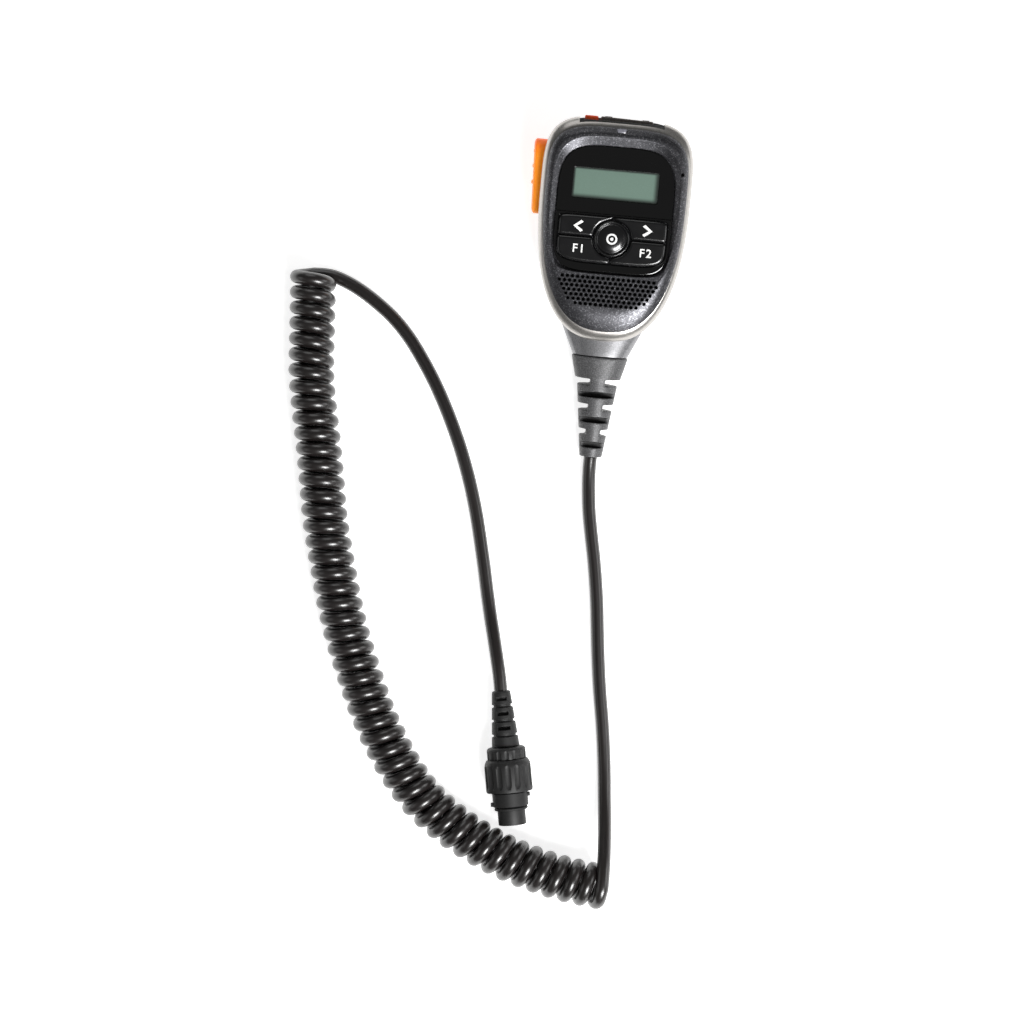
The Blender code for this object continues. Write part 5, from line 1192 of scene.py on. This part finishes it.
def chevron(x, y, point, level):
    """A key's arrow: point is -1 to the left, 1 to the right."""
    half_h, reach, stroke = 2.4, 3.1, 1.25
    outer = [(x - point * reach / 2, y + half_h), (x + point * reach / 2, y),
             (x - point * reach / 2, y - half_h)]
    inner = [(px - point * stroke * 1.25, py) for px, py in outer]
    inner[0] = (outer[0][0] - point * stroke * 0.75, outer[0][1] - stroke * 0.62)
    inner[2] = (outer[2][0] - point * stroke * 0.75, outer[2][1] + stroke * 0.62)
    corners = outer + inner[::-1]
    return skin([[Vector((px, py, z)) for px, py in corners] for z in (level, level + PRINT)])


def lettering(name, words, height, x, y, level, body):
    """A printed legend in plain letters, centred on a place."""
    curve = bpy.data.curves.new(name, "FONT")
    curve.body = words
    curve.size = height / 0.7
    curve.align_x, curve.align_y = "CENTER", "CENTER"
    curve.extrude = PRINT / 2
    curve.offset = 0.07
    curve.space_character = 1.2
    curve.resolution_u = 4
    ob = linked(name, curve)
    mesh = bpy.data.meshes.new_from_object(ob.evaluated_get(bpy.context.evaluated_depsgraph_get()))
    bpy.data.objects.remove(ob, do_unlink=True)
    mesh.transform(Matrix.Translation((x, y, level)))
    return finished(to_seat(linked(name, mesh)), INK, "key_black", body)


def keypad():
    keypad_frame()
    for name, side, upper, body, node in (("left_arrow_key", -1, True, "left_key", "key_left"),
                                          ("right_arrow_key", 1, True, "right_key", "key_right"),
                                          ("f1_key_cap", -1, False, "f1_key", "key_f1"),
                                          ("f2_key_cap", 1, False, "f2_key", "key_f2")):
        quarter_key(name, side, upper, body, node)
    centre_key()
    printed("left_arrow", chevron(-14.3, -39.3, -1, KEY_LEVEL), "left_key")
    printed("right_arrow", chevron(14.4, -39.1, 1, KEY_LEVEL), "right_key")
    lettering("f1_legend", "F1", 3.3, -13.0, -48.4, KEY_LEVEL + 0.02, "f1_key")
    lettering("f2_legend", "F2", 3.3, 13.9, -48.2, KEY_LEVEL + 0.02, "f2_key")
    face = KEY_LEVEL + KEY_RING - 0.33
    marks = [lathe([(2.2, face - 0.1), (2.2, face + 0.04), (1.45, face + 0.09), (1.45, face - 0.1)], 36,
                   CENTRE_KEY, closed=True),
             lathe([(0.65, face - 0.1), (0.65, face + 0.12)], 24, CENTRE_KEY)]
    printed("centre_mark", joined(marks), "centre_key")


# ---- controls on the side and top -------------------------------------------------------------------
def talk_button():
    outer = -(CASE.half_width + TALK_PROUD) + TALK_LEAN
    width, drop = TALK_EDGE
    rings = []
    for share in (0.02, 0.2, 0.4, 0.6, 0.75, 0.88, 1.0):
        rings.append(talk_ring((TALK_HALF_LENGTH - width) * share, (TALK_HALF_HEIGHT - width) * share,
                               outer, TALK_LEAN))
    for step in range(1, 7):
        turn = math.pi / 2 * step / 6
        drawn = width * (1 - math.sin(turn))
        rings.append(talk_ring(TALK_HALF_LENGTH - drawn, TALK_HALF_HEIGHT - drawn,
                               outer + drop * (1 - math.cos(turn)), TALK_LEAN))
    rings.append(talk_ring(TALK_HALF_LENGTH, TALK_HALF_HEIGHT, TALK_INNER_X, 0.0))
    # each bump is a low oval pad: how far in each section lies, and its size
    pad = ((0.0, 0.35), (0.12, 0.7), (0.35, 0.95), (0.6, 1.05), (1.6, 1.1))
    turns = [math.tau * k / 20 for k in range(20)]
    bumps = [skin([[Vector((outer - 0.55 + depth, y + size * math.cos(t) * 0.9,
                            TALK_Z + size * math.sin(t) * 3.2)) for t in turns] for depth, size in pad])
             for y in TALK_BUMPS]
    button = shape("talk_button", skin(rings))
    carve(button, [shape("bumps", joined(bumps))], "UNION")
    return finished(button, ORANGE, "safety_orange", "ptt", "ptt_button", crease=50.0)


def top_key(name, centre, length, finish, slot, body, node, taper, marks):
    foot, face, rear, front = TOP_KEY
    half = length / 2
    key = block((centre - half, foot, rear), (centre + half, face, front))
    for vert in key.verts:
        if vert.co.y > foot + 1.0:
            vert.co.y -= taper * (vert.co.x - centre + half) / length
    cap = shape(name, key)
    soften(cap, 0.55, 4)
    raised = []
    middle = (rear + front) / 2
    for x, kind in marks:
        top = face - taper * (x - centre + half) / length + MARK_PROUD
        raised.append(block((x - MARK_REACH, face - 1.0, middle - MARK_STROKE),
                            (x + MARK_REACH, top, middle + MARK_STROKE)))
        if kind == "plus":
            raised.append(block((x - MARK_STROKE, face - 1.0, middle - MARK_REACH),
                                (x + MARK_STROKE, top + 0.01, middle + MARK_REACH)))
    if raised:
        carve(cap, [shape("marks", bm) for bm in raised], "UNION")
    return flatten_shading(finished(cap, finish, slot, body, node))


def top_controls():
    strip = shape("top_seal", block(*STRIP))
    carve(strip, [key_ways("ways", 0.0, 6.0, SLIDE_GAP)])
    soften(strip, 0.25, 2)
    finished(strip, SEAL, "seal_black", "microphone", "top_seal_strip")
    top_key("alarm_cap", *ALARM, RED, "alarm_red", "alarm", "alarm_key", 0.0, [])
    top_key("volume_cap", *VOLUME, ROCKER, "rocker_grey", "volume", "volume_rocker", ROCKER_TAPER,
            [(VOLUME[0] - 7.5, "minus"), (VOLUME[0] + 7.5, "plus")])


def light_pipe():
    pipe = shape("light_pipe", lamp_prism(0.0, -0.75, -3.0))
    soften(pipe, 0.2, 2)
    return finished(pipe, LAMP, "lamp_clear", "microphone", "indicator_light_pipe")


# ---- back -------------------------------------------------------------------------------------------
def driven_screw(name, profile, face_level, head_radius):
    """A screw whose head faces down, with a cross cut 0.9 deep into it for a driver."""
    reach, half = 0.62 * head_radius, 0.14 * head_radius
    arms = [bare("arm", block((-x, -y, face_level - 1.0), (x, y, face_level + 0.9)))
            for x, y in ((reach, half), (half, reach))]
    return carve(bare(name, lathe(profile, 36)), arms)


def back_screws():
    top = SCREW_SEAT - GAP
    screw = driven_screw("screw", [(0.4, -7.5), (1.2, -8.3), (1.2, top), (2.2, top), (2.3, top - 0.15),
                                   (2.3, top - 1.0), (2.1, top - 1.4), (1.6, top - 1.7), (0.9, top - 1.8)],
                         top - 1.8, SCREW_HEAD_RADIUS)
    screws = points_object("back_screws", [(x, y, 0.0) for x, y in SCREW_PLACES])
    to_seat(grown(screws, copies_on_points(), Shape=screw, Turn=0.7, Material=STEEL))
    return finished(screws, STEEL, "steel", "microphone", *[f"case_screw_{n}" for n in range(1, 5)])


def hang_stud():
    back = BACK_LEVEL - GAP
    face = back - 5.6
    ring = shape("hanger_stud", lathe([(4.9, back), (4.6, back - 0.35), (4.6, back - 2.3), (4.9, back - 2.6),
                                       (6.8, back - 2.6), (7.25, back - 2.75), (7.4, back - 3.2),
                                       (7.4, face + 0.5), (7.2, face + 0.12), (6.8, face), (3.6, face),
                                       (3.3, face + 0.3), (3.3, face + 1.8), (1.8, face + 1.8), (1.8, back)],
                                      64, (0.0, STUD_Y), closed=True))
    finished(ring, CASE_PLASTIC, "case_grey", "microphone", "hang_stud")
    screw = driven_screw("stud_screw_shape", [(0.6, face + 9.5), (1.5, face + 8.6), (1.5, face + 1.5),
                                              (3.0, face + 1.5), (3.0, face + 0.5), (2.7, face + 0.2),
                                              (2.2, face + 0.15)], face + 0.15, 3.0)
    place = points_object("stud_fixing_screw", [(0.0, STUD_Y, 0.0)])
    to_seat(grown(place, copies_on_points(), Shape=screw, Turn=0.0, Material=STEEL))
    return finished(place, STEEL, "steel", "microphone", "stud_screw")


# ---- connector: along its axis from where the cord goes in -------------------------------------------
def plug_seat():
    heading = Vector((math.sin(PLUG_HEADING), -math.cos(PLUG_HEADING), 0.0))
    turn = heading.to_track_quat("Z", "Y").to_matrix().to_4x4()
    return Matrix.Translation(Vector(moved_over(PLUG_PLACE)) * MM) @ turn


def plug_strain_relief(seat):
    """Its lip closes on the cord; windows in front and behind alternate with grooves all round."""
    profile = [(2.75, -0.75), (3.35, -0.7), (3.7, -0.4), (3.85, 0.2)]
    profile += [(between(*PLUG_BOOT_RADII, z / PLUG_BOOT_LENGTH), float(z)) for z in range(2, 23, 2)]
    boot = shape("plug_strain_relief", lathe(profile, 72), seat)
    cutters = []
    for i in range(6):
        middle = 2.4 + 3.0 * i
        radius = between(*PLUG_BOOT_RADII, middle / PLUG_BOOT_LENGTH)
        if i % 2:
            cutters.append(lathe([(radius - 0.75, middle - 0.45), (radius + 1.0, middle - 0.75),
                                  (radius + 1.0, middle + 0.75), (radius - 0.75, middle + 0.45)],
                                 72, closed=True))
        else:
            half = 0.5 * radius
            for side in (-1, 1):
                near, out = sorted((side * 2.4, side * 7.0))
                cutters.append(block((-half, near, middle - 0.75), (half, out, middle + 0.75)))
    carve(boot, [shape("windows", joined(cutters), seat)])
    moulded(boot, 0.15, 3)
    return finished(boot, PLUG_NYLON, "plug_black", "microphone", "plug_boot", crease=180.0)


def fluted(body, start, length, radius, depth, half_width):
    """Cuts the grip's sixteen soft flutes: one bar repeated round the axis."""
    ends = ((0.0, 0.1), (0.03, 0.55), (0.1, 0.85), (0.2, 1.0), (0.8, 1.0), (0.9, 0.85), (0.97, 0.55),
            (1.0, 0.1))
    bar = bare("flute_bar", skin([[Vector((depth * size * math.cos(math.tau * k / 24),
                                           half_width * size * math.sin(math.tau * k / 24),
                                           start + length * share)) for k in range(24)]
                                  for share, size in ends]))
    flutes = grown(bare("flutes", bmesh.new()), ribs_round_axis(), Bar=bar, Count=16,
                   Radius=radius + depth / 2, Material=PLUG_NYLON)
    carve(body, [flutes])
    return body


def coupling_grip(seat):
    """The sleeve that turns to lock the connector."""
    profile = [(6.8, 0.0), (8.3, 0.0), (8.6, 0.2), (9.2, 1.4), (9.45, 2.2), (9.6, 3.0), (9.6, 12.7),
               (9.45, 13.15), (9.2, 13.3), (6.8, 13.3)]
    body = bare("coupling_grip", lathe([(r, SLEEVE + z) for r, z in profile], 128, closed=True))
    fluted(body, SLEEVE + 1.2, 11.0, 9.6, 0.95, 1.5)
    to_seat(body, seat)
    return finished(body, PLUG_NYLON, "plug_black", "coupling", "coupling_sleeve", crease=40.0)


def connector():
    seat = plug_seat()
    plug_strain_relief(seat)
    profile = [(6.0, 0.0), (6.8, 0.0), (7.5, 0.25), (7.9, 0.8), (8.0, 1.4), (8.0, 4.5), (7.9, 4.8),
               (6.0, 4.8)]
    nut = bare("plug_nut_ring", lathe([(r, NUT + z) for r, z in profile], 128))
    to_seat(fluted(nut, NUT + 0.9, 6.0, 8.0, 0.7, 1.2), seat)
    finished(nut, PLUG_NYLON, "plug_black", "microphone", "plug_nut")
    coupling_grip(seat)
    shell = shape("plug_body", lathe([(6.4, SLEEVE - 0.1), (6.4, RING), (7.1, RING), (7.3, RING + 0.2),
                                      (7.3, BARREL - 0.25), (7.05, BARREL), (5.7, BARREL),
                                      (5.7, PLUG_RIM - 0.35), (5.6, PLUG_RIM - 0.1), (5.35, PLUG_RIM),
                                      (4.9, PLUG_RIM), (4.7, PLUG_RIM - 0.25), (4.7, PLUG_RIM - 9.0)],
                                     96), seat)
    lugs = [block((-8.2, -1.5, BARREL - 1.9), (-5.8, 1.5, BARREL - 0.3)),
            block((5.8, -1.5, BARREL - 5.2), (8.2, 1.5, BARREL - 3.6)),
            block((-0.6, 4.2, PLUG_RIM - 6.5), (0.6, 5.1, PLUG_RIM - 0.4))]
    lug = shape("lugs", joined(lugs), seat)
    soften(lug, 0.25, 2)
    carve(shell, [lug], "UNION")
    finished(shell, PLUG_NYLON, "plug_black", "microphone", "plug_shell")
    turns = [math.tau * k / 14 for k in range(14)]
    section = [(6.42 + 0.45 * math.cos(t), BARREL + 0.9 + 0.6 * math.sin(t)) for t in turns]
    seal = shape("plug_seal", lathe(section, 64, closed=True), seat)
    finished(seal, SEAL, "seal_black", "microphone", "plug_o_ring", crease=80.0)
    face = PLUG_RIM - PLUG_MOUTH
    insert = shape("pin_insert", lathe([(4.4, face - 5.0), (4.4, face - 0.2), (4.2, face)], 48), seat)
    places = circle_ring(PIN_CIRCLE, 0.0, PINS)
    well = [(0.95, face + 1.0), (0.95, face), (0.8, face - 0.3), (0.8, face - 3.2)]
    wells = shape("wells", joined([lathe(well, 16, place) for place in places]), seat)
    carve(insert, [wells])
    finished(insert, SEAL, "seal_black", "microphone", "contact_insert")
    pin = bare("pin", lathe([(0.45, face - 3.0), (0.45, face + 1.9), (0.36, face + 2.2),
                             (0.15, face + 2.4)], 16))
    pins = points_object("gold_pins", places)
    to_seat(grown(pins, copies_on_points(), Shape=pin, Turn=0.0, Material=GOLD), seat)
    finished(pins, GOLD, "brass_gold", "microphone", *[f"contact_pin_{n}" for n in range(1, PINS + 1)])


# ---- pieces sealed inside keep their modelled shapes and get their own finishes ----------------------
def inner_finishes():
    felt = grained_plastic("black_felt", ("#0B0B0B", "#151515", "#242424"), 0.9, 0.3, 0.1)
    paper = grained_plastic("pressed_paper_cone", ("#1A1917", "#211F1D", "#2B2926"), 0.85, 0.5, 0.05)
    chip = grained_plastic("epoxy_chip", ("#141414", "#1A1A1A", "#202020"), 0.6, 0.25, 0.01)
    board = circuit_board()
    for names, finish in ((("main_board",), board), (("radio_chip", "board_connector"), chip),
                          (("speaker_felt",), felt), (("speaker_cone",), paper),
                          (("speaker_frame", "speaker_magnet", "mic_capsule"), STEEL),
                          (("mic_holder", "keypad_mat", "case_gasket"), SEAL),
                          (("ptt_switch", "alarm_switch", "volume_down_switch", "volume_up_switch"), chip),
                          (("cord_clamp",), PLUG_NYLON)):
        for name in names:
            slots = frame["nodes"][name].data.materials
            slots.clear()
            slots.append(finish)


# ---- the whole set -------------------------------------------------------------------------------------
studio()
PAINT = flake_paint()
SILVER = silver_paint()
CASE_PLASTIC = textured_abs()
ACRYLIC = smoked_acrylic()
DISPLAY = display_face()
KEY_GLOSS = gloss_key()
INK = legend_ink()
ORANGE = talk_rubber()
CORD_JACKET = cord_jacket()
BOOT_RUBBER = boot_rubber()
# Glass-filled nylon: near-black moulding, dull with a fine dry grain of 0.5 mm.
PLUG_NYLON = grained_plastic("glass_filled_nylon", ("#0E0E0E", "#131313", "#1A1A1A"), 0.56, 0.5, 0.03)
# Silicone rubber: black and almost without shine.
SEAL = grained_plastic("black_silicone", ("#0E0E0E", "#131313", "#1A1A1A"), 0.65, 0.7, 0.02)
# Injection-moulded ABS in signal red-orange, satin.
RED = grained_plastic("signal_red_abs", ("#F04A18", "#FA5620", "#FF6630"), 0.42, 0.7, 0.015)
# Injection-moulded ABS in warm grey, satin.
ROCKER = grained_plastic("warm_grey_abs", ("#4C4642", "#5A5450", "#665F5A"), 0.42, 0.6, 0.02)
# Smoked polycarbonate light pipe: grey, polished by its mould.
LAMP = grained_plastic("smoked_polycarbonate", ("#6A6A72", "#74747C", "#7E7E86"), 0.25, 1.5, 0.01, coat=0.4)
STEEL = brushed_metal("zinc_plated_steel", ("#9A9A9C", "#B6B6B8"), 0.32, 0.4)
GOLD = brushed_metal("gold_plated_brass", ("#C79A45", "#DDB565"), 0.24, 0.4)

front_shell()
silver_band()
back_shell()
strain_relief()
window()
keypad()
talk_button()
top_controls()
light_pipe()
back_screws()
hang_stud()
connector()
inner_finishes()

curly_cord, centreline = cord()
